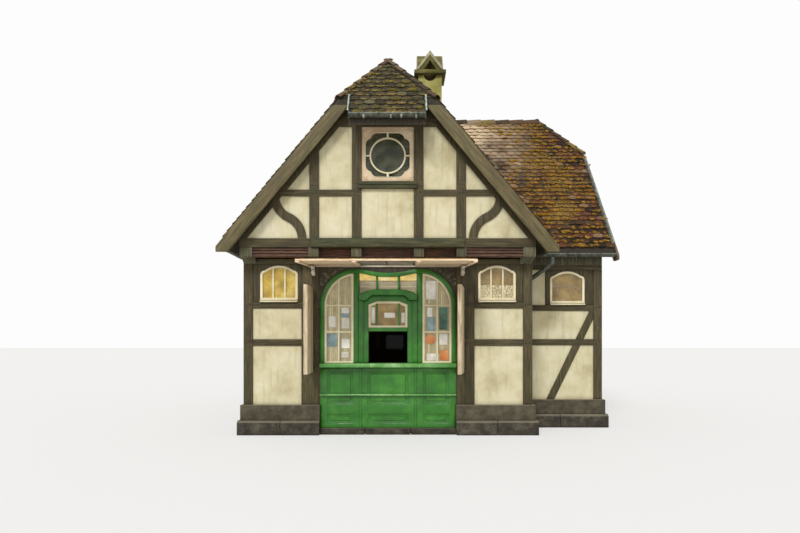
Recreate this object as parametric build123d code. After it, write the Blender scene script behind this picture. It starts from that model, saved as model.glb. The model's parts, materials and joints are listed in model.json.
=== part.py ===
"""A timber-framed street kiosk: a main house with its gable to the street, a cross wing on its right,
half-hipped roofs, a chimney with a cross-gabled cap, and an arched, wavy-topped shopfront.

Millimetres, +Z up. The front faces -Y and +X is to the right as the front is seen. The origin is at the
centre of the main house's plan, at ground level.
"""

import os
from math import cos, radians, sin, sqrt, tan

from build123d import *

# Plan of the timber frame, outside faces
body_width = 4640.0
body_depth = 6320.0
wing_length = 1400.0
wall_thickness = 160.0
laying_gap = 2.0

# Base: plinth stones below a rendered base wall, and the floor inside them
plinth_height = 230.0
plinth_projection = 90.0
base_height = 480.0
base_projection = 45.0
floor_level = 150.0

# Ground storey timber, heights above the ground
post_width = 150.0
arch_post_width = 300.0
mid_rail_bottom = 1425.0
mid_rail_height = 105.0
sill_rail_bottom = 2025.0
sill_rail_height = 100.0
plate_height = 80.0
storey_top = 2820.0
brace_width = 120.0
brace_run = 754.0
infill_recess = 18.0
infill_thickness = 110.0
boarding_recess = 12.0
boarding_thickness = 60.0

# Windows of the ground storey, with shouldered arches
window_inner_margin = 60.0
window_outer_margin = 116.0
window_spring = 2565.0
window_top = 2715.0
window_shoulder_radius = 72.0
window_frame_width = 38.0
window_foot_height = 72.0
window_frame_depth = 60.0
window_sill_height = 24.0
window_sill_projection = 30.0
wing_window_margin = 152.0
wing_boarding_margin = 88.0
glass_thickness = 6.0
glass_setback = 35.0

# Upper floor: joists that carry the jettied gables
joist_height = 150.0
joist_width = 160.0
joist_inner_offset = 490.0
joist_outer_offset = 1160.0
eaves_beam_width = 200.0
jetty = 250.0
attic_floor_thickness = 25.0
corbel_height = 80.0
corbel_width = 210.0
frieze_depth = 50.0
frieze_setback = 25.0
rope_radius = 22.0
rope_count = 3
soffit_board_thickness = 40.0

# Gables, heights above the joists' top
gable_beam_height = 140.0
gable_rail_bottom = 800.0
gable_rail_height = 100.0
gable_sill_bottom = 916.0
gable_sill_height = 104.0
gable_sill_projection = 40.0
gable_sill_overhang = 50.0
gable_collar_bottom = 1885.0
gable_outer_post_offset = 1150.0
gable_inner_post_offset = 485.0
rafter_depth = 136.0
ogee_foot_offset = 1340.0
ogee_head_offset = 1765.0
ogee_width = 135.0
drip_board_half_length = 1200.0
drip_board_thickness = 40.0

# Gable window: a square frame round a lobed opening
lobed_half_width = 344.0
lobe_start = 165.0
lobe_notch = 262.0
gable_window_depth = 60.0
gable_window_recess = 20.0

# Roof
roof_pitch = 50.4
roof_thickness = 100.0
heel_height = 372.0
eaves_overhang = 200.0
verge_overhang = 150.0
half_hip_run = 760.0
house_drip = 280.0
wing_drip = 94.0
barge_thickness = 40.0
barge_width = 200.0
barge_reach = 117.0
barge_tail_height = 85.0
barge_cut_below_corner = 104.0
flashing_clearance = 13.0
ridge_tile_reach = 130.0
ridge_tile_thickness = 42.0
gutter_radius = 56.0
gutter_wall = 8.0
gutter_drop = 40.0
hip_gutter_drop = 16.0

# Downpipe in the corner between the house and the wing
pipe_radius = 38.0
pipe_bore_radius = 33.0
pipe_wall_clearance = 25.0
pipe_outlet_distance = 466.0
pipe_neck_height = 110.0
pipe_neck_bottom = 2550.0
pipe_end = 260.0
pipe_bend_radius = 70.0
pipe_bore_depth = 60.0
pipe_clip_width = 30.0
pipe_clip_heights = (800.0, 2200.0)

# Chimney
chimney_width = 430.0
chimney_offset = 744.0
chimney_setback = 1560.0
chimney_top = 6385.0
chimney_slot_radius = 112.0
chimney_cap_projection = 75.0
chimney_cap_thickness = 70.0
chimney_roof_half_width = 228.0
chimney_roof_knee = 65.0
chimney_roof_height = 375.0
chimney_vent_half_width = 130.0
chimney_vent_height = 196.0

# Shopfront
shop_half_width = 1090.0
shop_spring = 2075.0
shop_shoulder_radius = 585.0
shop_dip = 62.0
shop_arch_width = 66.0
shop_arch_depth = 100.0
shop_arch_projection = 12.0
shop_base_height = 105.0
shop_base_projection = 20.0
spandrel_toe = 60.0
spandrel_depth = 90.0
shop_post_outer = 552.0
shop_post_inner = 472.0
shop_post_depth = 90.0
cornice_end_bottom = 2152.0
cornice_middle_bottom = 2235.0
cornice_middle_top = 2332.0
cornice_end_top = 2248.0
cornice_flat_end = 87.0
cornice_flat_half = 225.0
cornice_top_flat_half = 160.0
cornice_projection = 50.0
fan_bar_offset = 175.0
fan_bar_width = 32.0
fan_bar_depth = 25.0
pilaster_inner = 313.0
pilaster_depth = 80.0
hatch_rail_bottom = 1657.0
hatch_rail_height = 58.0
light_frame_width = 36.0
light_frame_depth = 50.0
light_frame_recess = 10.0
inner_window_shoulder = 50.0
inner_window_top_half = 175.0
inner_window_clearance = 12.0

# Counter below the shopfront
counter_top = 1145.0
counter_shelf_height = 65.0
counter_shelf_projection = 110.0
counter_shelf_inside = 220.0
counter_thickness = 90.0
counter_panel_sink = 14.0
counter_division_offset = 443.0
counter_division_width = 60.0
counter_upper_panel_bottom = 490.0
counter_upper_panel_top = 1016.0
counter_lower_panel_bottom = 178.0
counter_lower_panel_top = 338.0
counter_panel_margin = 115.0
handrail_height = 640.0
handrail_radius = 16.0
handrail_reach = 34.0

# Canopy flaps and folding shutters of raw boards
canopy_half_width = 1295.0
canopy_reach = 1140.0
canopy_wall_height = 2720.0
canopy_front_height = 2645.0
canopy_thickness = 26.0
canopy_batten_width = 60.0
canopy_batten_height = 22.0
canopy_centre_half_width = 430.0
canopy_centre_gap = 430.0
bracket_offset = 1195.0
bracket_width = 55.0
bracket_reach = 260.0
bracket_height = 150.0
bracket_tip_height = 30.0
bracket_bend = 0.35
shutter_reach = 600.0
shutter_thickness = 60.0
shutter_bottom = 1000.0
shutter_top = 2360.0
shutter_left_clearance = 110.0
shutter_right_clearance = 75.0
shutter_right_splay = 10.0
shutter_leaf_gap = 4.0

# Door in the back wall
door_half_width = 450.0
door_post_width = 150.0
door_head = 2200.0
door_head_height = 100.0
door_thickness = 50.0
door_recess = 60.0
door_clearance = 5.0
door_ledge_height = 110.0
door_ledge_depth = 25.0

# Bays of the side walls, from left to right as seen from outside
left_bays = ("braced", "window", "plain", "plain", "window", "braced")
end_bays = ("braced", "window", "window", "braced")

# Worked out from the sizes above
half_width = body_width / 2
half_depth = body_depth / 2
wing_end = half_width + wing_length
gable_face = half_depth + jetty
plate_bottom = storey_top - plate_height
loft_level = storey_top + joist_height
slope = tan(radians(roof_pitch))
steepness = cos(radians(roof_pitch))
roof_drop = roof_thickness / steepness
ridge_height = loft_level + heel_height + slope * half_width
eaves_line = half_width + eaves_overhang
shop_top = shop_spring + shop_shoulder_radius
sill_rail_top = sill_rail_bottom + sill_rail_height
mid_rail_top = mid_rail_bottom + mid_rail_height
front_verge = gable_face + verge_overhang
wing_verge = wing_end + verge_overhang
gable_window_half = gable_inner_post_offset - post_width / 2
arch_post_outer = shop_half_width + arch_post_width
corner_post_inner = half_width - post_width
window_room = corner_post_inner - arch_post_outer
window_half_width = (window_room - window_inner_margin - window_outer_margin) / 2
front_window_offset = arch_post_outer + window_inner_margin + window_half_width
wing_window_offset = wing_end - post_width - wing_window_margin - window_half_width
door_post_outer = door_half_width + door_post_width


def roof_top(distance):
    """Height of the roof's upper surface at a plan distance from its ridge."""
    return ridge_height - slope * distance


def roof_underside(distance):
    return roof_top(distance) - roof_drop


# Helpers: pieces by their limits, and flat pieces of a wall by their outline
def block(left, right, near, far, bottom, top):
    """A box by its limits along X, Y and Z."""
    centre = Pos((left + right) / 2, (near + far) / 2, (bottom + top) / 2)
    return centre * Box(right - left, far - near, top - bottom)


def rectangle(left, right, bottom, top):
    return Pos((left + right) / 2, (bottom + top) / 2) * Rectangle(right - left, top - bottom)


def polygon(*points):
    return make_face(Polyline(*points, close=True))


def wall_facing(outward, along, distance):
    """The place of a wall: local x runs along it to the right as seen from outside, local y is up,
    and local z = 0 is its outer timber face."""
    origin = tuple(axis * distance for axis in outward)
    return Plane(origin=origin, x_dir=along, z_dir=outward).location


def front_wall(distance):
    return wall_facing((0, -1, 0), (1, 0, 0), distance)


def back_wall(distance):
    return wall_facing((0, 1, 0), (-1, 0, 0), distance)


def left_wall(distance):
    return wall_facing((-1, 0, 0), (0, -1, 0), distance)


def right_wall(distance):
    return wall_facing((1, 0, 0), (0, 1, 0), distance)


def on_wall(wall, outline, front, thickness):
    """A flat piece with this outline; its front stands `front` proud of the wall's timber face."""
    return wall * Pos(0, 0, front - thickness) * extrude(outline, amount=thickness, dir=(0, 0, 1))


def group(pieces):
    """One node of separate solids."""
    solids = []
    for piece in pieces:
        solids.extend(piece.solids())
    return Compound(children=solids) if len(solids) > 1 else solids[0]


# Base and floor
def base_runs(projection):
    """The straight runs of a base course: (left, right, near, far), mortar joints between them."""
    inner_x = half_width - wall_thickness
    inner_y = half_depth - wall_thickness
    outer_x = half_width + projection
    outer_y = half_depth + projection
    wing_inner = wing_end - wall_thickness
    wing_outer = wing_end + projection
    joint = laying_gap
    return [
        (-outer_x, -shop_half_width, -outer_y, -inner_y),
        (shop_half_width, outer_x, -outer_y, -inner_y),
        (-outer_x, -door_half_width, inner_y, outer_y),
        (door_half_width, outer_x, inner_y, outer_y),
        (-outer_x, -inner_x, -inner_y + joint, inner_y - joint),
        (inner_x, outer_x, -inner_y + joint, -outer_x - joint),
        (inner_x, outer_x, outer_x + joint, inner_y - joint),
        (inner_x, wing_outer, -outer_x, -inner_x),
        (inner_x, wing_outer, inner_x, outer_x),
        (wing_inner, wing_outer, -inner_x + joint, inner_x - joint),
    ]


def plinth_stones():
    runs = [block(*run, 0, plinth_height) for run in base_runs(plinth_projection)]
    front = -half_depth - shop_base_projection
    back = -half_depth + wall_thickness
    reach = shop_half_width - laying_gap
    shop_stone = block(-reach, reach, front, back, 0, shop_base_height)
    threshold_reach = door_half_width - laying_gap
    threshold_front = half_depth + plinth_projection
    threshold = block(-threshold_reach, threshold_reach, half_depth - wall_thickness, threshold_front, 0, floor_level)
    return group(runs + [shop_stone, threshold])


def base_walls():
    return group([block(*run, plinth_height, base_height) for run in base_runs(base_projection)])


def floor_slab():
    inner_x = half_width - wall_thickness
    inner_y = half_depth - wall_thickness
    wing_inner = wing_end - wall_thickness
    house = block(-inner_x, inner_x, -inner_y, inner_y, 0, floor_level)
    wing = block(inner_x + laying_gap, wing_inner, -inner_x, inner_x, 0, floor_level)
    return group([house, wing])


# Ground storey windows
def shouldered_arch(inset, foot):
    """Outline of a ground storey window, drawn `inset` inside the outermost one, from the height `foot`."""
    half = window_half_width - inset
    shoulder = window_shoulder_radius - inset
    notch = half - shoulder
    notch_height = window_spring + shoulder
    top = window_top - inset
    bend = shoulder * sin(radians(45))
    outline = [
        Line((-half, foot), (half, foot)),
        Line((half, foot), (half, window_spring)),
        ThreePointArc((half, window_spring), (notch + bend, window_spring + bend), (notch, notch_height)),
        ThreePointArc((notch, notch_height), (0, top), (-notch, notch_height)),
        ThreePointArc((-notch, notch_height), (-notch - bend, window_spring + bend), (-half, window_spring)),
        Line((-half, window_spring), (-half, foot)),
    ]
    return make_face(Wire(outline))


def window_hole():
    return shouldered_arch(0, sill_rail_top)


def window_light():
    return shouldered_arch(window_frame_width, sill_rail_top + window_foot_height)


def window_frame(wall, centre):
    ring = window_hole() - window_light()
    frame = on_wall(wall, Pos(centre, 0) * ring, -boarding_recess, window_frame_depth)
    sill_outline = rectangle(-window_half_width, window_half_width, sill_rail_top, sill_rail_top + window_sill_height)
    sill_depth = window_sill_projection + boarding_recess + window_frame_depth
    sill = on_wall(wall, Pos(centre, 0) * sill_outline, window_sill_projection, sill_depth)
    return frame + sill


def window_pane(wall, centre):
    return on_wall(wall, Pos(centre, 0) * window_light(), -glass_setback, glass_thickness)


def window_places():
    """Every ground storey window: its wall and the place of its middle along that wall."""
    front = front_wall(half_depth)
    back = back_wall(half_depth)
    left = left_wall(half_width)
    wing_front = front_wall(half_width)
    wing_back = back_wall(half_width)
    wing_side = right_wall(wing_end)
    places = [(front, -front_window_offset), (front, front_window_offset)]
    places += [(back, -front_window_offset), (back, front_window_offset)]
    places += [(left, centre) for centre in window_centres(left_span(), left_bays)]
    places += [(wing_front, wing_window_offset), (wing_back, -wing_window_offset)]
    places += [(wing_side, centre) for centre in window_centres(end_span(), end_bays)]
    return places


# Ground storey walls: each timber frame is drawn flat and then given its thickness
def left_span():
    return half_depth - wall_thickness


def end_span():
    return half_width - wall_thickness


def bay_limits(span, bays, bay):
    """Left and right edge of a bay between the posts of a wall that runs from -span to span."""
    count = len(bays)
    clear = (2 * span - (count - 1) * post_width) / count
    left = -span + bay * (clear + post_width)
    return left, left + clear


def window_centres(span, bays):
    return [sum(bay_limits(span, bays, bay)) / 2 for bay, kind in enumerate(bays) if kind == "window"]


def upright(left, right):
    return rectangle(left, right, base_height, plate_bottom)


def mid_rail(left, right):
    return rectangle(left, right, mid_rail_bottom, mid_rail_top)


def sill_rail(left, right):
    return rectangle(left, right, sill_rail_bottom, sill_rail_top)


def brace(head_x, inward):
    """A straight brace from the base up to the sill rail, its head on the post at head_x."""
    rise = sill_rail_bottom - base_height
    across = brace_width * sqrt(brace_run * brace_run + rise * rise) / rise / 2
    foot_x = head_x + inward * brace_run
    band = polygon(
        (foot_x - across, base_height),
        (foot_x + across, base_height),
        (head_x + across, sill_rail_bottom),
        (head_x - across, sill_rail_bottom),
    )
    room = rectangle(min(head_x, foot_x + inward * across), max(head_x, foot_x + inward * across),
                     base_height, sill_rail_bottom)
    return (band & room) - mid_rail(-wing_end, wing_end)


def boarding(left, right, window_centre):
    return rectangle(left, right, sill_rail_top, plate_bottom) - Pos(window_centre, 0) * window_hole()


def timbers(wall, members):
    """Frame members, each a piece of its own."""
    return [on_wall(wall, face, 0, wall_thickness) for member in members for face in member.faces()]


def boards(wall, outline):
    return on_wall(wall, outline, -boarding_recess, boarding_thickness)


def panels_between(field, members):
    """The faces of a wall field that its members leave open."""
    for member in members:
        field -= member
    return field


def plaster(wall, outline):
    return on_wall(wall, outline, -infill_recess, infill_thickness)


def outer_bay_members(side):
    """Corner post, arch post and rails of the window bay beside the middle of a main house end wall."""
    members = [
        upright(corner_post_inner, half_width),
        upright(shop_half_width, arch_post_outer),
        mid_rail(arch_post_outer, corner_post_inner),
        sill_rail(arch_post_outer, corner_post_inner),
    ]
    return [mirrored(member, side) for member in members]


def outer_bay_boarding(side):
    return mirrored(boarding(arch_post_outer, corner_post_inner, front_window_offset), side)


def outer_bay_infill(side):
    field = rectangle(arch_post_outer, corner_post_inner, base_height, sill_rail_bottom)
    return mirrored(field - mid_rail(arch_post_outer, corner_post_inner), side)


def mirrored(outline, side):
    return outline if side > 0 else mirror(outline, about=Plane.YZ)


def front_frames():
    wall = front_wall(half_depth)
    pieces = []
    for side in (-1, 1):
        pieces += timbers(wall, outer_bay_members(side))
        pieces.append(boards(wall, outer_bay_boarding(side)))
    return group(pieces)


def front_infill():
    wall = front_wall(half_depth)
    return [plaster(wall, outer_bay_infill(side)) for side in (-1, 1)]


def door_bay_members():
    """Door posts and head of the back wall, with the rails beside them."""
    members = [rectangle(-door_half_width, door_half_width, door_head, door_head + door_head_height)]
    for side in (-1, 1):
        members.append(mirrored(upright(door_half_width, door_post_outer), side))
        members.append(mirrored(mid_rail(door_post_outer, shop_half_width), side))
        members.append(mirrored(sill_rail(door_post_outer, shop_half_width), side))
    return members


def back_frame():
    """The back wall's frame: the front's outer bays, and between them a doorway."""
    wall = back_wall(half_depth)
    pieces = timbers(wall, door_bay_members())
    for side in (-1, 1):
        pieces += timbers(wall, outer_bay_members(side))
        pieces.append(boards(wall, outer_bay_boarding(side)))
    return group(pieces)


def back_infill():
    wall = back_wall(half_depth)
    field = rectangle(-shop_half_width, shop_half_width, base_height, plate_bottom)
    field -= rectangle(-door_half_width, door_half_width, base_height, door_head)
    panels = [panels_between(field, door_bay_members())]
    panels += [outer_bay_infill(side) for side in (-1, 1)]
    return [plaster(wall, panel) for panel in panels]


def back_door():
    """A ledged board door, closed in its frame."""
    wall = back_wall(half_depth)
    half = door_half_width - door_clearance
    leaf = rectangle(-half, half, floor_level + door_clearance, door_head)
    door = on_wall(wall, leaf, -door_recess, door_thickness)
    for height in (floor_level + door_ledge_height, (floor_level + door_head) / 2, door_head - door_ledge_height):
        ledge = rectangle(-half, half, height - door_ledge_height / 2, height + door_ledge_height / 2)
        door += on_wall(wall, ledge, -door_recess + door_ledge_depth, door_ledge_depth)
    return door


def bay_wall(span, bays):
    """Members, boarding and plaster panels of a wall with equal bays, between its end posts."""
    members = []
    boarded = []
    field = rectangle(-span, span, base_height, plate_bottom)
    for bay, kind in enumerate(bays):
        left, right = bay_limits(span, bays, bay)
        if bay > 0:
            members.append(upright(left - post_width, left))
        members += [mid_rail(left, right), sill_rail(left, right)]
        if kind == "braced":
            first = bay < len(bays) / 2
            members.append(brace(right, -1) if first else brace(left, 1))
        if kind == "window":
            boarded.append(boarding(left, right, (left + right) / 2))
            field -= rectangle(left, right, sill_rail_top, plate_bottom)
    return members, boarded, panels_between(field, members)


def left_frame():
    members, boarded, _ = bay_wall(left_span(), left_bays)
    wall = left_wall(half_width)
    return group(timbers(wall, members) + [boards(wall, outline) for outline in boarded])


def left_infill():
    return [plaster(left_wall(half_width), bay_wall(left_span(), left_bays)[2])]


def wing_end_frame():
    members, boarded, _ = bay_wall(end_span(), end_bays)
    wall = right_wall(wing_end)
    return group(timbers(wall, members) + [boards(wall, outline) for outline in boarded])


def return_outlines(side):
    """The short wall between the house's corner and the wing, drawn on the house's right side."""
    outer = half_depth - wall_thickness
    inner = half_width + post_width
    members = [upright(half_width - wall_thickness, inner), mid_rail(inner, outer), sill_rail(inner, outer)]
    infill = panels_between(rectangle(inner, outer, base_height, plate_bottom), members)
    return [mirrored(member, side) for member in members], mirrored(infill, side)


def return_frames():
    wall = right_wall(half_width)
    return group([piece for side in (-1, 1) for piece in timbers(wall, return_outlines(side)[0])])


def wing_bay_outlines(side):
    """The wing's long wall as seen from outside: inner post, boarded window bay and corner post."""
    inner = half_width + post_width
    corner = wing_end - post_width
    board_left = wing_window_offset - window_half_width - wing_boarding_margin
    members = [
        upright(half_width, inner),
        upright(corner, wing_end),
        mid_rail(inner, corner),
        sill_rail(inner, corner),
        brace(corner, -1),
    ]
    boarded = boarding(board_left, corner, wing_window_offset)
    field = rectangle(inner, corner, base_height, plate_bottom)
    field -= rectangle(board_left, corner, sill_rail_top, plate_bottom)
    infill = panels_between(field, members)
    return [mirrored(member, side) for member in members], mirrored(boarded, side), mirrored(infill, side)


def wing_walls():
    return [(front_wall(half_width), 1), (back_wall(half_width), -1)]


def wing_side_frames():
    pieces = []
    for wall, side in wing_walls():
        members, boarded, _ = wing_bay_outlines(side)
        pieces += timbers(wall, members)
        pieces.append(boards(wall, boarded))
    return group(pieces)


def wing_infill():
    """Plaster panels of the wing's three walls and of the two short returns."""
    pieces = [plaster(wall, wing_bay_outlines(side)[2]) for wall, side in wing_walls()]
    pieces.append(plaster(right_wall(wing_end), bay_wall(end_span(), end_bays)[2]))
    for side in (-1, 1):
        pieces.append(plaster(right_wall(half_width), return_outlines(side)[1]))
    return pieces


def wall_infill():
    return group(front_infill() + back_infill() + left_infill() + wing_infill())


# Plates, joists and the jetties
def wall_plates():
    inner_x = half_width - wall_thickness
    inner_y = half_depth - wall_thickness
    wing_inner = wing_end - wall_thickness
    gap = laying_gap
    plan = [
        (-half_width, half_width, -half_depth, -inner_y),
        (-half_width, half_width, inner_y, half_depth),
        (-half_width, -inner_x, -inner_y + gap, inner_y - gap),
        (inner_x, half_width, -inner_y + gap, inner_y - gap),
        (half_width + gap, wing_end, -half_width, -inner_x),
        (half_width + gap, wing_end, inner_x, half_width),
        (wing_inner, wing_end, -inner_x + gap, inner_x - gap),
    ]
    return group([block(*run, plate_bottom, storey_top) for run in plan])


def filling_outline():
    """Section of the filling between an eaves beam and the roof; x is the distance from the ridge."""
    inner = half_width - eaves_beam_width
    return polygon(
        (inner, loft_level),
        (half_width, loft_level),
        (half_width, roof_underside(half_width)),
        (inner, roof_underside(inner)),
    )


def along_y(outline, near, far):
    """An outline drawn in X and Z, run from near to far along Y."""
    return Plane.XZ.location * Pos(0, 0, -far) * extrude(outline, amount=far - near, dir=(0, 0, 1))


def along_x(outline, start, end):
    """An outline drawn in Y and Z, run from start to end along X."""
    return Plane.YZ.location * Pos(0, 0, start) * extrude(outline, amount=end - start, dir=(0, 0, 1))


def eaves_beams():
    """Beams on the side walls, whose ends carry the jetties."""
    inner = half_width - eaves_beam_width
    start = half_width + laying_gap
    return group([
        block(-half_width, -inner, -gable_face, gable_face, storey_top, loft_level),
        block(inner, half_width, -gable_face, gable_face, storey_top, loft_level),
        block(start, wing_end, -half_width, -inner, storey_top, loft_level),
        block(start, wing_end, inner, half_width, storey_top, loft_level),
    ])


def eaves_filling():
    """Filling between the eaves beams and the underside of the roof."""
    right = filling_outline()
    left = mirror(right, about=Plane.YZ)
    gable_back = gable_face - wall_thickness
    start = half_width + laying_gap
    wing_back = wing_end - wall_thickness
    return group([
        along_y(left, -gable_back, gable_back),
        along_y(right, -gable_back, -half_width),
        along_y(right, half_width, gable_back),
        along_x(left, start, wing_back),
        along_x(right, start, wing_back),
    ])


def joists():
    """Joists of the house, whose ends show under both gables, and those of the wing."""
    pieces = []
    for offset in (-joist_outer_offset, -joist_inner_offset, joist_inner_offset, joist_outer_offset):
        left = offset - joist_width / 2
        pieces.append(block(left, left + joist_width, -gable_face, gable_face, storey_top, loft_level))
    inner = half_width - eaves_beam_width
    for part in (1, 2):
        middle = half_width + wing_length * part / 3
        pieces.append(block(middle - joist_width / 2, middle + joist_width / 2, -inner, inner, storey_top, loft_level))
    pieces.append(block(wing_end - wall_thickness, wing_end, -inner, inner, storey_top, loft_level))
    return group(pieces)


def attic_floor():
    inner = half_width - eaves_beam_width
    back = gable_face - wall_thickness
    top = loft_level + attic_floor_thickness
    house = block(-inner, inner, -back, back, loft_level, top)
    wing = block(half_width + laying_gap, wing_end - wall_thickness, -inner, inner, loft_level, top)
    return group([house, wing])


def corner_corbels():
    """Quarter-round corbels under the ends of the eaves beams."""
    pieces = []
    reach = jetty - frieze_setback
    bottom = storey_top - corbel_height
    curve = [
        Line((0, bottom), (0, storey_top)),
        Line((0, storey_top), (-reach, storey_top)),
        EllipticalCenterArc((-reach, bottom), reach, corbel_height, 0, arc_size=90),
    ]
    outline = make_face(Wire(curve))
    for side in (-1, 1):
        start = side * half_width if side < 0 else half_width - corbel_width
        front = along_x(Pos(-half_depth, 0) * outline, start, start + corbel_width)
        pieces.append(front)
        pieces.append(mirror(front, about=Plane.XZ))
    return group(pieces)


def jetty_gaps():
    """Spans between the beam ends under a gable: (left, right, has rope mouldings)."""
    half = joist_width / 2
    inner_beam = half_width - eaves_beam_width
    return [
        (-inner_beam, -joist_outer_offset - half, True),
        (-joist_outer_offset + half, -joist_inner_offset - half, False),
        (-joist_inner_offset + half, joist_inner_offset - half, False),
        (joist_inner_offset + half, joist_outer_offset - half, False),
        (joist_outer_offset + half, inner_beam, True),
    ]


def jetty_boards():
    """Boards between the beam ends; the outer ones carry three rope mouldings."""
    pieces = []
    pitch = joist_height / rope_count
    for wall in (front_wall(gable_face), back_wall(gable_face)):
        for left, right, rope in jetty_gaps():
            field = rectangle(left, right, storey_top, loft_level)
            if not rope:
                pieces.append(on_wall(wall, field, -wall_thickness, soffit_board_thickness))
                continue
            piece = on_wall(wall, field, -frieze_setback - rope_radius, frieze_depth)
            for row in range(rope_count):
                height = storey_top + (row + 0.5) * pitch
                rod = Pos(left, height, -frieze_setback - rope_radius) * Rot(0, 90, 0)
                rod *= Cylinder(rope_radius, right - left, align=(Align.CENTER, Align.CENTER, Align.MIN))
                piece += wall * rod
            pieces.append(piece)
    return group(pieces)


# Gables
def gable_outline():
    """Whole field of a gable wall under the roof, up to the half-hip."""
    top = half_hip_underside(verge_overhang)
    top_reach = (ridge_height - roof_drop - top) / slope
    return polygon(
        (-half_width, loft_level),
        (half_width, loft_level),
        (half_width, roof_underside(half_width)),
        (top_reach, top),
        (-top_reach, top),
        (-half_width, roof_underside(half_width)),
    )


def ogee_brace(foot_x, head_x, foot_z, head_z):
    """A band of two equal arcs, plumb at both ends: a curved brace like a drawn-out S."""
    middle = ((foot_x + head_x) / 2, (foot_z + head_z) / 2)
    run = middle[0] - foot_x
    rise = middle[1] - foot_z
    radius = (run * run + rise * rise) / (2 * run)
    centre = (foot_x + radius, foot_z)
    aim = (middle[0] - centre[0], middle[1] - centre[1])
    length = sqrt(aim[0] ** 2 + aim[1] ** 2)
    half = ogee_width / 2
    step = (aim[0] / length * half, aim[1] / length * half)
    near = (middle[0] + step[0], middle[1] + step[1])
    far = (middle[0] - step[0], middle[1] - step[1])
    foot_near = (foot_x - half, foot_z)
    foot_far = (foot_x + half, foot_z)
    head_near = (head_x - half, head_z)
    head_far = (head_x + half, head_z)
    outline = [
        TangentArc(foot_near, near, tangent=(0, 1)),
        TangentArc(head_near, near, tangent=(0, -1)),
        Line(head_near, head_far),
        TangentArc(head_far, far, tangent=(0, -1)),
        TangentArc(foot_far, far, tangent=(0, 1)),
        Line(foot_far, foot_near),
    ]
    return make_face(Wire(outline))


def gable_members():
    """Outline of a gable's timbers."""
    field = gable_outline()
    beam_top = loft_level + gable_beam_height
    collar = loft_level + gable_collar_bottom
    rail = loft_level + gable_rail_bottom
    sill = loft_level + gable_sill_bottom
    top = half_hip_underside(verge_overhang)
    rafter_band = rafter_depth / steepness
    inside = polygon(
        (-(ridge_height - roof_drop - rafter_band - beam_top) / slope, beam_top),
        ((ridge_height - roof_drop - rafter_band - beam_top) / slope, beam_top),
        ((ridge_height - roof_drop - rafter_band - collar) / slope, collar),
        (-(ridge_height - roof_drop - rafter_band - collar) / slope, collar),
    )
    timbers = field - inside
    members = rectangle(-half_width, half_width, rail, rail + gable_rail_height)
    members -= rectangle(-gable_window_half, gable_window_half, rail, rail + gable_rail_height)
    members += rectangle(-gable_window_half, gable_window_half, sill, sill + gable_sill_height)
    for side in (-1, 1):
        for offset in (gable_outer_post_offset, gable_inner_post_offset):
            left = side * offset - post_width / 2
            members += rectangle(left, left + post_width, beam_top, top)
        head = roof_underside(ogee_head_offset)
        curved = ogee_brace(ogee_foot_offset, ogee_head_offset, beam_top, rail)
        curved += rectangle(ogee_head_offset - ogee_width / 2, ogee_head_offset + ogee_width / 2, rail, head)
        members += mirrored(curved, side)
    return timbers + (members & field)


def gable_frames():
    members = gable_members()
    return group([on_wall(wall, members, 0, wall_thickness) for wall, _ in gable_walls()])


def gable_trims():
    """Drip board over each jetty and nosing under each gable window."""
    drip = rectangle(-drip_board_half_length, drip_board_half_length, loft_level, loft_level + gable_beam_height)
    reach = gable_window_half + gable_sill_overhang
    sill = loft_level + gable_sill_bottom
    nose = rectangle(-reach, reach, sill, sill + gable_sill_height)
    pieces = []
    for wall, _ in gable_walls():
        pieces.append(on_wall(wall, drip, drip_board_thickness, drip_board_thickness))
        pieces.append(on_wall(wall, nose, gable_sill_projection, gable_sill_projection))
    return group(pieces)


def gable_window_hole():
    bottom = loft_level + gable_sill_bottom + gable_sill_height
    return rectangle(-gable_window_half, gable_window_half, bottom, loft_level + gable_collar_bottom)


def gable_infill():
    pieces = []
    for wall, with_window in gable_walls():
        panels = gable_outline() - gable_members()
        if with_window:
            panels -= gable_window_hole()
        pieces.append(plaster(wall, panels))
    return group(pieces)


def gable_walls():
    return [(front_wall(gable_face), True), (back_wall(gable_face), True), (right_wall(wing_end), False)]


def lobed_opening():
    """A square with a lobe either side of a notch at each corner."""
    edges = []
    for quarter in range(4):
        turn = Rot(0, 0, 90 * quarter)
        side = Line((lobed_half_width, -lobe_start), (lobed_half_width, lobe_start))
        rising = TangentArc((lobed_half_width, lobe_start), (lobe_notch, lobe_notch), tangent=(0, 1))
        falling = TangentArc((lobe_start, lobed_half_width), (lobe_notch, lobe_notch), tangent=(1, 0))
        edges += [turn * side, turn * rising, turn * falling]
    return make_face(Wire(edges))


def gable_window_centre():
    bottom = loft_level + gable_sill_bottom + gable_sill_height
    return (bottom + loft_level + gable_collar_bottom) / 2


def gable_windows():
    opening = Pos(0, gable_window_centre()) * lobed_opening()
    frame = gable_window_hole() - opening
    return group([
        on_wall(wall, frame, -gable_window_recess, gable_window_depth)
        for wall, with_window in gable_walls() if with_window
    ])


def window_glass():
    panes = [window_pane(wall, centre) for wall, centre in window_places()]
    opening = Pos(0, gable_window_centre()) * lobed_opening()
    for wall, with_window in gable_walls():
        if with_window:
            panes.append(on_wall(wall, opening, -gable_window_recess - glass_setback, glass_thickness))
    return group(panes)


def window_frames():
    return group([window_frame(wall, centre) for wall, centre in window_places()])


# Roof: each slope is drawn in plan and given its heights, with upright mitres between slopes
def roof_sheet(plan, height, thickness, base=0.0):
    """A sloping sheet over a plan outline; height gives the lower surface, thickness is upright."""
    points = [(x, y, height(x, y) + base) for x, y in plan]
    face = Face(Wire.make_polygon(points, close=True))
    return extrude(face, amount=thickness, dir=(0, 0, 1))


def house_slope(x, y):
    return roof_top(abs(x))


def wing_slope(x, y):
    return roof_top(abs(y))


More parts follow.
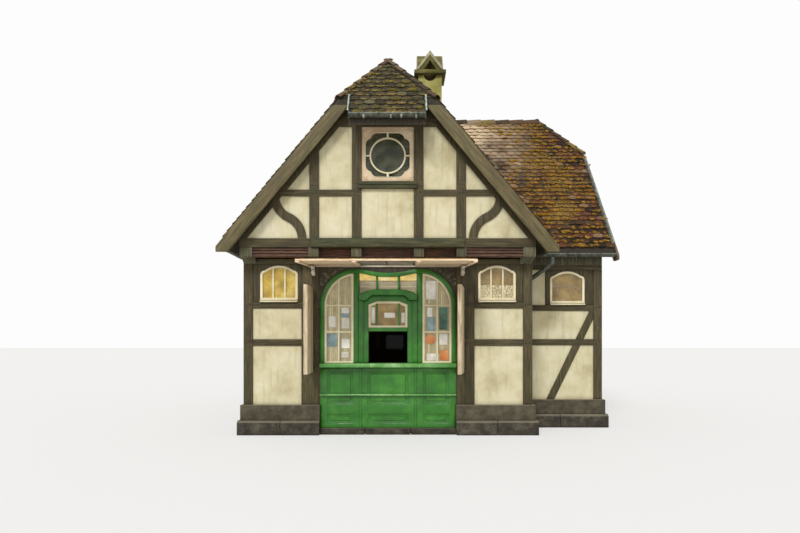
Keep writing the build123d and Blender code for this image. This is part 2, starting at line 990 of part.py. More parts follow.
def half_hip_underside(inside_verge):
    return roof_top(half_hip_run - inside_verge) - roof_drop


def slope_piece(plan, height):
    return roof_sheet(plan, height, roof_drop, -roof_drop)


def house_apex():
    return front_verge - half_hip_run


def wing_apex():
    return wing_verge - half_hip_run


def roof_left():
    apex = house_apex()
    plan = [
        (0, -apex),
        (0, apex),
        (-half_hip_run, front_verge),
        (-eaves_line, front_verge),
        (-eaves_line, -front_verge),
        (-half_hip_run, -front_verge),
    ]
    return slope_piece(plan, house_slope)


def roof_right(side):
    """The right slope in front of the wing's roof (side -1) or behind it (side 1)."""
    plan = [
        (0, side * house_apex()),
        (0, 0),
        (eaves_line, side * eaves_line),
        (eaves_line, side * front_verge),
        (half_hip_run, side * front_verge),
    ]
    return slope_piece(plan, house_slope)


def roof_wing(side):
    plan = [
        (0, 0),
        (wing_apex(), 0),
        (wing_verge, side * half_hip_run),
        (wing_verge, side * eaves_line),
        (eaves_line, side * eaves_line),
    ]
    return slope_piece(plan, wing_slope)


def roof_ends():
    """How the three half-hips lie: their verge, how far they run on past it, and the turn that brings
    local -Y to face outwards."""
    return [(front_verge, house_drip, 0), (front_verge, house_drip, 180), (wing_verge, wing_drip, 90)]


def half_hip_edge():
    """Half width of the half-hip's drip, between the cut tops of the barge boards."""
    return barge_top_inner() - flashing_clearance


def half_hip(verge, drip):
    """A half-hip drawn for the front, with its ridge along Y."""
    apex = verge - half_hip_run
    edge = half_hip_edge()
    plan = [
        (0, -apex),
        (-half_hip_run, -verge),
        (-edge, -verge),
        (-edge, -verge - drip),
        (edge, -verge - drip),
        (edge, -verge),
        (half_hip_run, -verge),
    ]
    return slope_piece(plan, lambda x, y: roof_top(abs(y) - apex))


def half_hips():
    return group([Rot(0, 0, turn) * half_hip(verge, drip) for verge, drip, turn in roof_ends()])


def ridge_tiles():
    """Caps along both ridges; the wing's stops against the main one."""
    reach = ridge_tile_reach
    end = house_apex() - reach
    left_plan = [(0, -end), (0, end), (-reach, end), (-reach, -end)]
    house = roof_sheet(left_plan, house_slope, ridge_tile_thickness)
    for side in (-1, 1):
        right_plan = [(0, side * end), (reach, side * end), (reach, side * reach), (0, 0)]
        house += roof_sheet(right_plan, house_slope, ridge_tile_thickness)
    wing = None
    for side in (-1, 1):
        wing_top = wing_apex() - reach
        plan = [(laying_gap, 0), (wing_top, 0), (wing_top, side * reach), (reach + laying_gap, side * reach)]
        sheet = roof_sheet(plan, wing_slope, ridge_tile_thickness)
        wing = sheet if wing is None else wing + sheet
    return group([house, wing])


def hip_cap(verge):
    """Caps over both hips of a half-hip drawn for the front, from the apex to the barge boards."""
    apex = verge - half_hip_run
    reach = ridge_tile_reach
    cap = None
    for side in (-1, 1):
        corner = side * half_hip_run
        on_main = [(0, -apex), (corner, -verge), (corner, -verge + reach), (0, -apex + reach)]
        on_hip = [(0, -apex), (corner, -verge), (corner - side * reach, -verge), (0, -apex - reach)]
        for plan, height in ((on_main, house_slope), (on_hip, lambda x, y: roof_top(abs(y) - apex))):
            sheet = roof_sheet(plan, height, ridge_tile_thickness)
            cap = sheet if cap is None else cap + sheet
    return cap


def hip_tiles():
    return group([Rot(0, 0, turn) * hip_cap(verge) for verge, _, turn in roof_ends()])


def barge_cut_height():
    return roof_top(half_hip_run) - barge_cut_below_corner


def barge_top_inner():
    return (ridge_height - barge_width / steepness - barge_cut_height()) / slope


def barge_outline():
    """The right barge board, its foot cut plumb and level and its head cut level at the half-hip."""
    outer = eaves_line + barge_reach
    foot = roof_top(outer) - barge_tail_height
    foot_inner = (ridge_height - barge_width / steepness - foot) / slope
    head = barge_cut_height()
    return polygon(
        (outer, roof_top(outer)),
        (outer, foot),
        (foot_inner, foot),
        (barge_top_inner(), head),
        ((ridge_height - head) / slope, head),
    )


def barge_boards():
    pieces = []
    for wall in (front_wall(front_verge), back_wall(front_verge), right_wall(wing_verge)):
        for side in (-1, 1):
            pieces.append(on_wall(wall, mirrored(barge_outline(), side), barge_thickness, barge_thickness))
    return group(pieces)


def gutter_section():
    """A half-round trough whose back touches x = 0 and whose rim is at height 0."""
    outer = Pos(gutter_radius, 0) * Circle(gutter_radius)
    inner = Pos(gutter_radius, 0) * Circle(gutter_radius - gutter_wall)
    below = rectangle(-gutter_wall, 2 * gutter_radius + gutter_wall, -2 * gutter_radius, 0)
    return (outer - inner) & below


def gutters():
    section = gutter_section()
    rim = roof_underside(eaves_line) + gutter_drop
    outer = eaves_line + 2 * gutter_radius
    right = Pos(eaves_line, rim) * section
    left = mirror(right, about=Plane.YZ)
    pieces = [along_y(left, -front_verge, front_verge)]
    pieces.append(along_y(right, -front_verge, -outer - laying_gap))
    pieces.append(along_y(right, outer + laying_gap, front_verge))
    pieces.append(along_x(left, eaves_line, wing_verge))
    pieces.append(along_x(right, eaves_line, wing_verge))
    edge = half_hip_edge()
    for verge, drip, turn in roof_ends():
        hip_rim = roof_top(half_hip_run + drip) - hip_gutter_drop
        hip = Pos(verge + drip, hip_rim) * section
        pieces.append(Rot(0, 0, turn) * along_x(mirror(hip, about=Plane.YZ), -edge, edge))
    return group(pieces)


def downpipe():
    """From the wing's front gutter by a swan neck into the corner, and down to the plinth."""
    rim = roof_underside(eaves_line) + gutter_drop
    start_x = half_width + pipe_outlet_distance
    start_y = -eaves_line - gutter_radius
    start_z = rim - gutter_radius
    corner_x = half_width + base_projection + pipe_wall_clearance + pipe_radius
    corner_y = -corner_x
    neck_z = start_z - pipe_neck_height
    points = [
        (start_x, start_y, start_z),
        (start_x, start_y, neck_z),
        (corner_x, corner_y, pipe_neck_bottom),
        (corner_x, corner_y, pipe_end),
    ]
    path = FilletPolyline(*points, radius=pipe_bend_radius)
    section = Plane(origin=points[0], z_dir=(0, 0, -1)) * Circle(pipe_radius)
    pipe = sweep(section, path=path)
    bore = Pos(corner_x, corner_y, pipe_end) * Cylinder(
        pipe_bore_radius, pipe_bore_depth, align=(Align.CENTER, Align.CENTER, Align.MIN)
    )
    pipe -= bore
    for height in pipe_clip_heights:
        clip = block(half_width, corner_x, corner_y - pipe_clip_width / 2, corner_y + pipe_clip_width / 2,
                     height, height + pipe_clip_width)
        pipe += clip
    return pipe


# Chimney
def chimney_shaft():
    """A rendered shaft that stands on the right slope, with a half-moon slot through each pair of sides."""
    left = chimney_offset - chimney_width / 2
    right = chimney_offset + chimney_width / 2
    near = -chimney_setback - chimney_width / 2
    far = -chimney_setback + chimney_width / 2
    outline = polygon(
        (left, roof_top(left)), (right, roof_top(right)), (right, chimney_top), (left, chimney_top)
    )
    shaft = along_y(outline, near, far)
    half_moon = Circle(chimney_slot_radius) & rectangle(
        -chimney_slot_radius, chimney_slot_radius, -chimney_slot_radius, 0
    )
    slot_y = along_y(Pos(chimney_offset, chimney_top) * half_moon, near, far)
    slot_x = along_x(Pos(-chimney_setback, chimney_top) * half_moon, left, right)
    return shaft - slot_y - slot_x


def chimney_cap():
    """A slab with a small cross-gabled roof on it, open through all four gables."""
    half = chimney_width / 2 + chimney_cap_projection
    base = chimney_top + chimney_cap_thickness
    slab = block(chimney_offset - half, chimney_offset + half, -chimney_setback - half, -chimney_setback + half,
                 chimney_top, base)
    reach = chimney_roof_half_width
    house = polygon(
        (-reach, base),
        (reach, base),
        (reach, base + chimney_roof_knee),
        (0, base + chimney_roof_height),
        (-reach, base + chimney_roof_knee),
    )
    vent = polygon(
        (-chimney_vent_half_width, base), (chimney_vent_half_width, base), (0, base + chimney_vent_height)
    )
    roof = along_y(Pos(chimney_offset, 0) * house, -chimney_setback - reach, -chimney_setback + reach)
    roof += along_x(Pos(-chimney_setback, 0) * house, chimney_offset - reach, chimney_offset + reach)
    roof -= along_y(Pos(chimney_offset, 0) * vent, -chimney_setback - reach, -chimney_setback + reach)
    roof -= along_x(Pos(-chimney_setback, 0) * vent, chimney_offset - reach, chimney_offset + reach)
    return slab + roof


# Shopfront
def wavy_arch(inset, foot):
    """The shopfront's outline, drawn `inset` inside the outermost one: round shoulders that swell
    and dip to the middle, and straight jambs down to the height `foot`."""
    half = shop_half_width - inset
    radius = shop_shoulder_radius - inset
    centre = shop_half_width - shop_shoulder_radius
    dip_radius = (centre**2 - 2 * shop_shoulder_radius * shop_dip + shop_dip**2) / (2 * shop_dip) + inset
    dip_height = shop_top - shop_dip - inset
    dip_centre = dip_height + dip_radius
    share = radius / (radius + dip_radius)
    join = (centre * (1 - share), shop_spring + (dip_centre - shop_spring) * share)
    crown = (centre + radius * sin(radians(45)), shop_spring + radius * cos(radians(45)))
    outline = [
        Line((-half, foot), (half, foot)),
        Line((half, foot), (half, shop_spring)),
        ThreePointArc((half, shop_spring), crown, join),
        ThreePointArc(join, (0, dip_height), (-join[0], join[1])),
        ThreePointArc((-join[0], join[1]), (-crown[0], crown[1]), (-half, shop_spring)),
        Line((-half, shop_spring), (-half, foot)),
    ]
    return make_face(Wire(outline))


def shop_wall():
    return front_wall(half_depth)


def shop_spandrel():
    """Dark boarding between the arch and the plate."""
    toe = shop_spring + spandrel_toe
    field = rectangle(-shop_half_width, shop_half_width, toe, plate_bottom)
    return on_wall(shop_wall(), field - wavy_arch(0, base_height), 0, spandrel_depth)


def shop_arch():
    ring = wavy_arch(0, counter_top) - wavy_arch(shop_arch_width, counter_top)
    return on_wall(shop_wall(), ring, shop_arch_projection, shop_arch_depth)


def shop_posts():
    """Two posts that divide the shopfront in three, and the two bars of its fanlight."""
    inside = wavy_arch(shop_arch_width, counter_top)
    pieces = []
    for side in (-1, 1):
        strip = mirrored(rectangle(shop_post_inner, shop_post_outer, counter_top, shop_top), side)
        pieces.append(on_wall(shop_wall(), strip & inside, 0, shop_post_depth))
    return group(pieces + fan_bars())


def cornice_lower_edge():
    """The cornice's lower edge from left to right: level ends, an S-curve up, and a level middle."""
    end = shop_post_inner
    flat = end - cornice_flat_end
    middle = cornice_flat_half
    low = cornice_end_bottom
    high = cornice_middle_bottom
    turn = ((flat + middle) / 2, (low + high) / 2)
    return [
        Line((-end, low), (-flat, low)),
        TangentArc((-flat, low), (-turn[0], turn[1]), tangent=(1, 0)),
        TangentArc((-middle, high), (-turn[0], turn[1]), tangent=(-1, 0)),
        Line((-middle, high), (middle, high)),
        TangentArc((middle, high), turn, tangent=(1, 0)),
        TangentArc((flat, low), turn, tangent=(-1, 0)),
        Line((flat, low), (end, low)),
    ]


def cornice_upper_edge(lift):
    end = shop_post_inner
    flat = cornice_top_flat_half
    high = cornice_middle_top + lift
    low = cornice_end_top + lift
    return [
        TangentArc((-flat, high), (-end, low), tangent=(-1, 0)),
        Line((-flat, high), (flat, high)),
        TangentArc((flat, high), (end, low), tangent=(1, 0)),
    ]


def cornice_face():
    end = shop_post_inner
    sides = [
        Line((end, cornice_end_bottom), (end, cornice_end_top)),
        Line((-end, cornice_end_top), (-end, cornice_end_bottom)),
    ]
    return make_face(Wire(cornice_lower_edge() + cornice_upper_edge(0) + sides))


def below_cornice(edge, side_height, bottom):
    """The field between the shop posts from the height `bottom` up to an edge of the cornice."""
    end = shop_post_inner
    sides = [
        Line((end, side_height), (end, bottom)),
        Line((end, bottom), (-end, bottom)),
        Line((-end, bottom), (-end, side_height)),
    ]
    return make_face(Wire(edge + sides))


def under_cornice():
    return below_cornice(cornice_lower_edge(), cornice_end_bottom, counter_top)


def fan_light():
    """The fanlight between the posts, over the cornice."""
    middle = rectangle(-shop_post_inner, shop_post_inner, cornice_end_bottom, shop_top)
    middle -= below_cornice(cornice_upper_edge(0), cornice_end_top, counter_top)
    return middle & wavy_arch(shop_arch_width, counter_top)


def fan_bars():
    half = fan_bar_width / 2
    pieces = []
    for centre in (-fan_bar_offset, fan_bar_offset):
        strip = rectangle(centre - half, centre + half, counter_top, shop_top) & fan_light()
        pieces.append(on_wall(shop_wall(), strip, fan_bar_depth - glass_setback, fan_bar_depth))
    return pieces


def shop_cornice():
    return on_wall(shop_wall(), cornice_face(), cornice_projection, cornice_projection + shop_post_depth)


def shop_pilasters():
    """Stepped pilasters beside the hatch and the window over it."""
    room = under_cornice()
    step = (shop_post_inner - pilaster_inner) / 2
    pieces = []
    for side in (-1, 1):
        broad = mirrored(rectangle(pilaster_inner, shop_post_inner, counter_top, shop_top), side) & room
        narrow = mirrored(rectangle(pilaster_inner + step, shop_post_inner, counter_top, shop_top), side) & room
        piece = on_wall(shop_wall(), broad, -light_frame_recess, pilaster_depth)
        piece += on_wall(shop_wall(), narrow, light_frame_recess, light_frame_recess * 2)
        pieces.append(piece)
    return group(pieces)


def hatch_surround():
    """The green rail between the hatch and the small window, and the boarding under the cornice."""
    outline = rectangle(-pilaster_inner, pilaster_inner, hatch_rail_bottom, hatch_rail_bottom + hatch_rail_height)
    rail = on_wall(shop_wall(), outline, light_frame_recess, pilaster_depth + light_frame_recess)
    return group([rail, hatch_head()])


def inner_window_outline(inset):
    bottom = hatch_rail_bottom + hatch_rail_height + inset
    reach = pilaster_inner - inset
    top = cornice_end_bottom - inner_window_clearance - inset
    shoulder = top - inner_window_shoulder
    return polygon(
        (-reach, bottom),
        (reach, bottom),
        (reach, shoulder),
        (inner_window_top_half, top),
        (-inner_window_top_half, top),
        (-reach, shoulder),
    )


def light_outlines(inset):
    """The framed lights of the shopfront, each drawn `inset` inside its frame's outer edge."""
    arch = wavy_arch(shop_arch_width + inset, counter_top + inset)
    side = rectangle(shop_post_outer + inset, shop_half_width, counter_top + inset, shop_top) & arch
    return [mirrored(side, -1), side, inner_window_outline(inset)]


def shop_light_frames():
    """Frames of the two side lights and of the small window over the hatch."""
    pieces = []
    for outer, inner in zip(light_outlines(0), light_outlines(light_frame_width)):
        pieces.append(on_wall(shop_wall(), outer - inner, -light_frame_recess, light_frame_depth))
    return group(pieces)


def shop_glass():
    panes = light_outlines(light_frame_width) + [fan_light()]
    return group([on_wall(shop_wall(), pane, -glass_setback, glass_thickness) for pane in panes])


def hatch_head():
    """Green boarding between the small window and the cornice."""
    bottom = cornice_end_bottom - inner_window_clearance - inner_window_shoulder
    field = rectangle(-pilaster_inner, pilaster_inner, bottom, shop_top) & under_cornice()
    return on_wall(shop_wall(), field - inner_window_outline(0), -light_frame_recess, light_frame_depth)


# Counter
def counter():
    """Panelled front of the counter."""
    reach = shop_half_width
    top = counter_top - counter_shelf_height
    wall = shop_wall()
    field = rectangle(-reach, reach, shop_base_height, top)
    front = on_wall(wall, field, 0, counter_thickness)
    edges = [-reach, -counter_division_offset, counter_division_offset, reach]
    for left, right in zip(edges[:-1], edges[1:]):
        for bottom, upper in (
            (counter_lower_panel_bottom, counter_lower_panel_top),
            (counter_upper_panel_bottom, counter_upper_panel_top),
        ):
            sunk = rectangle(left + counter_panel_margin, right - counter_panel_margin, bottom, upper)
            front -= on_wall(wall, sunk, 0, counter_panel_sink)
    return front


def handrail():
    """A round rail across the counter's front, on four small brackets."""
    reach = shop_half_width
    rail = Rot(0, 90, 0) * Cylinder(handrail_radius, 2 * reach)
    piece = Pos(0, -half_depth - handrail_reach, handrail_height) * rail
    outer = reach - counter_division_width
    for edge in (-outer, -counter_division_offset, counter_division_offset, outer):
        piece += block(edge - handrail_radius, edge + handrail_radius, -half_depth - handrail_reach, -half_depth,
                       handrail_height - handrail_radius / 2, handrail_height + handrail_radius / 2)
    return piece


def counter_shelf():
    bottom = counter_top - counter_shelf_height
    return block(-shop_half_width, shop_half_width, -half_depth - counter_shelf_projection,
                 -half_depth + counter_shelf_inside, bottom, counter_top)


# Canopy and shutters
def canopy_near():
    return -half_depth - canopy_reach


def canopy_far():
    return -half_depth - shop_arch_projection


def canopy_underside(y):
    """Height of the canopy's underside, which falls to the front."""
    share = (y - canopy_near()) / (canopy_far() - canopy_near())
    return canopy_front_height + (canopy_wall_height - canopy_front_height) * share


def canopy_board(left, right, near, far, lift, thickness):
    """A board that follows the canopy's slope, its lower face `lift` above the canopy's underside."""
    low_near = canopy_underside(near) + lift
    low_far = canopy_underside(far) + lift
    outline = polygon((near, low_near), (far, low_far), (far, low_far + thickness), (near, low_near + thickness))
    return along_x(outline, left, right)


def canopy():
    """Two full flaps and a shorter one between them, of raw boards on battens."""
    near = canopy_near()
    far = canopy_far()
    reach = canopy_half_width
    centre = canopy_centre_half_width
    width = canopy_batten_width
    piece = canopy_board(-centre, centre, near, far - canopy_centre_gap, 0, canopy_thickness)
    for left in (-reach, centre):
        right = left + reach - centre
        piece += canopy_board(left, right, near, far, 0, canopy_thickness)
        for edge in (left, right - width):
            piece += canopy_board(edge, edge + width, near, far, -canopy_batten_height, canopy_batten_height)
        piece += canopy_board(left, right, far - width, far, -canopy_batten_height, canopy_batten_height)
    return piece


def canopy_brackets():
    """Carved brackets between the wall and the outer battens."""
    wall = -half_depth
    tip = wall - bracket_reach
    head = canopy_underside(wall) - canopy_batten_height
    tip_head = canopy_underside(tip) - canopy_batten_height
    tip_foot = tip_head - bracket_tip_height
    foot = head - bracket_height
    middle = (wall - bracket_reach * bracket_bend, head - bracket_height * bracket_bend)
    curve = [
        ThreePointArc((wall, foot), middle, (tip, tip_foot)),
        Line((tip, tip_foot), (tip, tip_head)),
        Line((tip, tip_head), (wall, head)),
        Line((wall, head), (wall, foot)),
    ]
    outline = make_face(Wire(curve))
    pieces = []
    for side in (-1, 1):
        left = side * bracket_offset - bracket_width / 2
        pieces.append(along_x(outline, left, left + bracket_width))
    return group(pieces)


def shutter(hinge, splay):
    """A folded pair of shutter leaves, opened square to the wall and swung inwards by `splay` degrees."""
    leaf = (shutter_thickness - shutter_leaf_gap) / 2
    hinge_side = block(0, leaf, -shutter_reach, 0, shutter_bottom, shutter_top)
    outer_side = block(shutter_thickness - leaf, shutter_thickness, -shutter_reach, 0, shutter_bottom, shutter_top)
    spine = block(leaf, shutter_thickness - leaf, -shutter_reach, -shutter_reach + shutter_leaf_gap * 10,
                  shutter_bottom, shutter_top)
    pair = hinge_side + outer_side + spine
    return Pos(hinge, -half_depth, 0) * Rot(0, 0, -splay) * pair


def shutters():
    left = mirror(shutter(shop_half_width + shutter_left_clearance, 0), about=Plane.YZ)
    right = shutter(shop_half_width + shutter_right_clearance, shutter_right_splay)
    return group([left, right])


nodes = {
    "plinth_stones": plinth_stones,
    "base_walls": base_walls,
    "floor_slab": floor_slab,
    "front_frames": front_frames,
    "back_frame": back_frame,
    "back_door": back_door,
    "left_frame": left_frame,
    "return_frames": return_frames,
    "wing_side_frames": wing_side_frames,
    "wing_end_frame": wing_end_frame,
    "wall_infill": wall_infill,
    "wall_plates": wall_plates,
    "eaves_beams": eaves_beams,
    "eaves_filling": eaves_filling,
    "joists": joists,
    "attic_floor": attic_floor,
    "corner_corbels": corner_corbels,
    "jetty_boards": jetty_boards,
    "gable_frames": gable_frames,
    "gable_trims": gable_trims,
    "gable_infill": gable_infill,
    "gable_windows": gable_windows,
    "window_frames": window_frames,
    "window_glass": window_glass,
    "roof_left": roof_left,
    "roof_right_front": lambda: roof_right(-1),
    "roof_right_back": lambda: roof_right(1),
    "roof_wing_front": lambda: roof_wing(-1),
    "roof_wing_back": lambda: roof_wing(1),
    "half_hips": half_hips,
    "ridge_tiles": ridge_tiles,
    "hip_tiles": hip_tiles,
    "barge_boards": barge_boards,
    "gutters": gutters,
    "downpipe": downpipe,
    "chimney_shaft": chimney_shaft,
    "chimney_cap": chimney_cap,
    "shop_spandrel": shop_spandrel,
    "shop_arch": shop_arch,
    "shop_posts": shop_posts,
    "shop_cornice": shop_cornice,
    "shop_pilasters": shop_pilasters,
    "hatch_surround": hatch_surround,
    "shop_light_frames": shop_light_frames,
    "shop_glass": shop_glass,
    "counter": counter,
    "handrail": handrail,
    "counter_shelf": counter_shelf,
    "canopy": canopy,
    "canopy_brackets": canopy_brackets,
    "shutters": shutters,
}


def main():
    os.makedirs("parts", exist_ok=True)
    for name, make in nodes.items():
        export_step(make(), f"parts/{name}.step")


if __name__ == "__main__":
    main()
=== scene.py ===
"""A timber-framed street kiosk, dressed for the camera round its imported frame.

Sizes are in metres in the frame's own axes: +Z up, the street front at -Y, the wing at +X.
"""
from __future__ import annotations

import json
import logging
import math
import random
from collections.abc import Iterable, Iterator, Sequence
from contextlib import contextmanager
from dataclasses import dataclass, field
from enum import Enum

import bpy
import numpy as np
from mathutils import Matrix, Vector, noise

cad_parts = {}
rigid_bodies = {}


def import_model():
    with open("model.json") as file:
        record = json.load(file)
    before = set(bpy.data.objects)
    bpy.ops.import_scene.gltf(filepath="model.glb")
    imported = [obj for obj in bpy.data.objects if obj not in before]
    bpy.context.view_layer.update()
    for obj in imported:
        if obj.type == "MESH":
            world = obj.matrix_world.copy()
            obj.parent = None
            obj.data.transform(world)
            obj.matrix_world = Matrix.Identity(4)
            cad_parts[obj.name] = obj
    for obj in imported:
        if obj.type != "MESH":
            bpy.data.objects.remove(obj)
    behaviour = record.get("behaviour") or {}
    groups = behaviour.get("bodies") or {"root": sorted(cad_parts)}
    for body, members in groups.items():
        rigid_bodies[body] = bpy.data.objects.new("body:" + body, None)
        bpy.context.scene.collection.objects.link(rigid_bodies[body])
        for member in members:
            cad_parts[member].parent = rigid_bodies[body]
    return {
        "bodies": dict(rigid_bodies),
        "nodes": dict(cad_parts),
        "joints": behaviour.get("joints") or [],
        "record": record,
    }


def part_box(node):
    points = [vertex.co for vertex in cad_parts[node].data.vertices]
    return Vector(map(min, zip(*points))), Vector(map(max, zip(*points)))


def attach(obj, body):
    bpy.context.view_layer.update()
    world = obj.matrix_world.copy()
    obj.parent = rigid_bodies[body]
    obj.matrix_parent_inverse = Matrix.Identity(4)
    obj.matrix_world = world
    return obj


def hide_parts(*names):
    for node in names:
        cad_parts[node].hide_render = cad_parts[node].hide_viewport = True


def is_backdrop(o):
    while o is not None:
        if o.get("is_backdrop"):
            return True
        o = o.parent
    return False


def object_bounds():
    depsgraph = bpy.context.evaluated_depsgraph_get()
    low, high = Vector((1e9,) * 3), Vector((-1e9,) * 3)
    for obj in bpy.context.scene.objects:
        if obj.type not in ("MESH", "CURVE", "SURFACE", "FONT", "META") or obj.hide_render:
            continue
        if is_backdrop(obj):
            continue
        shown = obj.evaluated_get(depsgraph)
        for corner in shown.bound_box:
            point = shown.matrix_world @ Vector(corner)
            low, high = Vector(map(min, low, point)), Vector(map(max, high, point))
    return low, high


log = logging.getLogger("kiosk")

SEED = 17
BODY = "root"
HALF_WIDTH = 2.320
HALF_DEPTH = 3.160
WING_END = 3.720
GABLE_FACE = 3.410
PITCH = math.radians(50.4)
SLANT = 1 / math.cos(PITCH)
GUTTER_RIM = 2.983
UP = Vector((0, 0, 1))

Piece = bpy.types.Object
Node = bpy.types.Node
Colour = tuple[float, float, float, float]
Flat = tuple[float, float]
Solid = tuple[float, float, float]
Cut = tuple[Solid, Solid]


def linear(hex_colour: str) -> Colour:
    """Turn an sRGB hex colour such as "#4a4236" into the linear colour that a shader takes."""
    parts = [int(hex_colour[start:start + 2], 16) / 255 for start in (1, 3, 5)]
    red, green, blue = (raw / 12.92 if raw <= 0.04045 else ((raw + 0.055) / 1.055) ** 2.4 for raw in parts)
    return red, green, blue, 1.0


class Recipe:
    """The nodes of a new material or sky, and the one way in which they are added."""

    def __init__(self, owner: bpy.types.Material | bpy.types.World) -> None:
        """Start with the owner's standard nodes."""
        owner.use_nodes = True
        self.tree = owner.node_tree

    def add(self, kind: str, sockets: dict | None = None, stops: Sequence | None = None, **settings) -> Node:
        """Add a node with its settings and links.

        Args:
            kind: Node type without its common prefix.
            sockets: Values or linked outputs, by input name or number.
            stops: Places and hex colours of a colour ramp.
            **settings: Plain properties of the node.

        Returns:
            The new node.
        """
        node = self.tree.nodes.new(f"ShaderNode{kind}")
        for name, value in settings.items():
            setattr(node, name, value)
        for number, (place, colour) in enumerate(stops or ()):
            elements = node.color_ramp.elements
            element = elements[number] if number < len(elements) else elements.new(place)
            element.position = place
            element.color = linear(colour)
        self.link(node, sockets or {})
        return node

    def link(self, node: Node, sockets: dict) -> None:
        """Set or link a node's inputs.

        Args:
            node: The node that takes them.
            sockets: Values, sockets, or nodes that give their first live output, by input name or number.
        """
        for name, value in sockets.items():
            if isinstance(value, Node):
                value = next(output for output in value.outputs if output.enabled)
            if isinstance(value, bpy.types.NodeSocket):
                self.tree.links.new(value, node.inputs[name])
            else:
                node.inputs[name].default_value = value

    def place(self, stretch: Solid = (1.0, 1.0, 1.0)) -> Node:
        """Object coordinates in metres, stretched along each axis for a pattern."""
        return self.add("Mapping", {"Vector": self.add("TexCoord").outputs["Object"], "Scale": stretch})

    def sized(self, millimetres: float, stretch: Solid = (1.0, 1.0, 1.0)) -> dict:
        """The sockets that give a pattern features of a real size."""
        return {"Vector": self.place(stretch), "Scale": 1000 / millimetres}

    def dirt_and_corner_shade(self, colour: Node, dirt_and_shade: str, reach: float, most: float) -> Node:
        """Darken a colour in corners, as painted shade and as the dirt that gathers there.

        Args:
            colour: The clean colour.
            dirt_and_shade: Hex colour of the painted shade and the dirt.
            reach: How far from a corner it spreads, in metres.
            most: Share of painted shade and dirt in the deepest corner.

        Returns:
            The colour, darkened with painted shade and dirt.
        """
        # Occlusion finds the closed-in corners, where shade falls; the dark laid there is painted shade as well
        # as dirt.
        corner = self.add("AmbientOcclusion", {"Distance": reach}, samples=6).outputs["AO"]
        depth = {"Value": corner, "From Min": 0.35, "From Max": 0.95, "To Min": most, "To Max": 0.0}
        share = self.add("MapRange", depth)
        return self.add("Mix", {0: share, 6: colour, 7: linear(dirt_and_shade)}, data_type="RGBA")

    def laid(self, colour: Node, other: str, pattern: Node, limits: Flat, most: float) -> Node:
        """Lay another colour where a pattern is strong.

        Args:
            colour: The colour below.
            other: Hex colour that is laid over it.
            pattern: The pattern that spreads it.
            limits: Strengths of the pattern at which it starts and is complete.
            most: Its share where it is complete.

        Returns:
            The mixed colour.
        """
        low, high = limits
        share = self.add("MapRange", {"Value": pattern, "From Min": low, "From Max": high, "To Max": most})
        return self.add("Mix", {0: share, 6: colour, 7: linear(other)}, data_type="RGBA")

    def own_tone(self, colour: Node, low: float, high: float) -> Node:
        """Give each loose part of a piece a shade of its own.

        Args:
            colour: The colour of all of them.
            low: Brightness of the darkest.
            high: Brightness of the lightest.

        Returns:
            The varied colour.
        """
        own = self.add("NewGeometry").outputs["Random Per Island"]
        shade = self.add("MapRange", {"Value": own, "To Min": low, "To Max": high})
        return self.add("Mix", {0: 1.0, 6: colour, 7: shade}, data_type="RGBA", blend_type="MULTIPLY")


@dataclass(frozen=True)
class Finish:
    """A surface as it was made, under the name of its material."""

    name: str

    def coat(self, recipe: Recipe) -> dict:
        """The shader's sockets, which each kind of finish works out."""
        raise NotImplementedError

    def build(self) -> bpy.types.Material:
        """Make the material."""
        material = bpy.data.materials.new(self.name)
        recipe = Recipe(material)
        recipe.link(recipe.tree.nodes["Principled BSDF"], self.coat(recipe))
        return material


class Grain(Enum):
    """How the grain of a timber runs."""

    FRAME = "upright in posts and level in rails"
    RAKE = "along the slope of the roof"
    LEVEL = "level"
    UPRIGHT = "upright"


RAIL_BANDS = ((1.425, 1.530), (2.025, 2.125), (2.740, 3.110), (3.770, 3.990), (4.855, 5.139))
RAIL_SCALE = 8.0


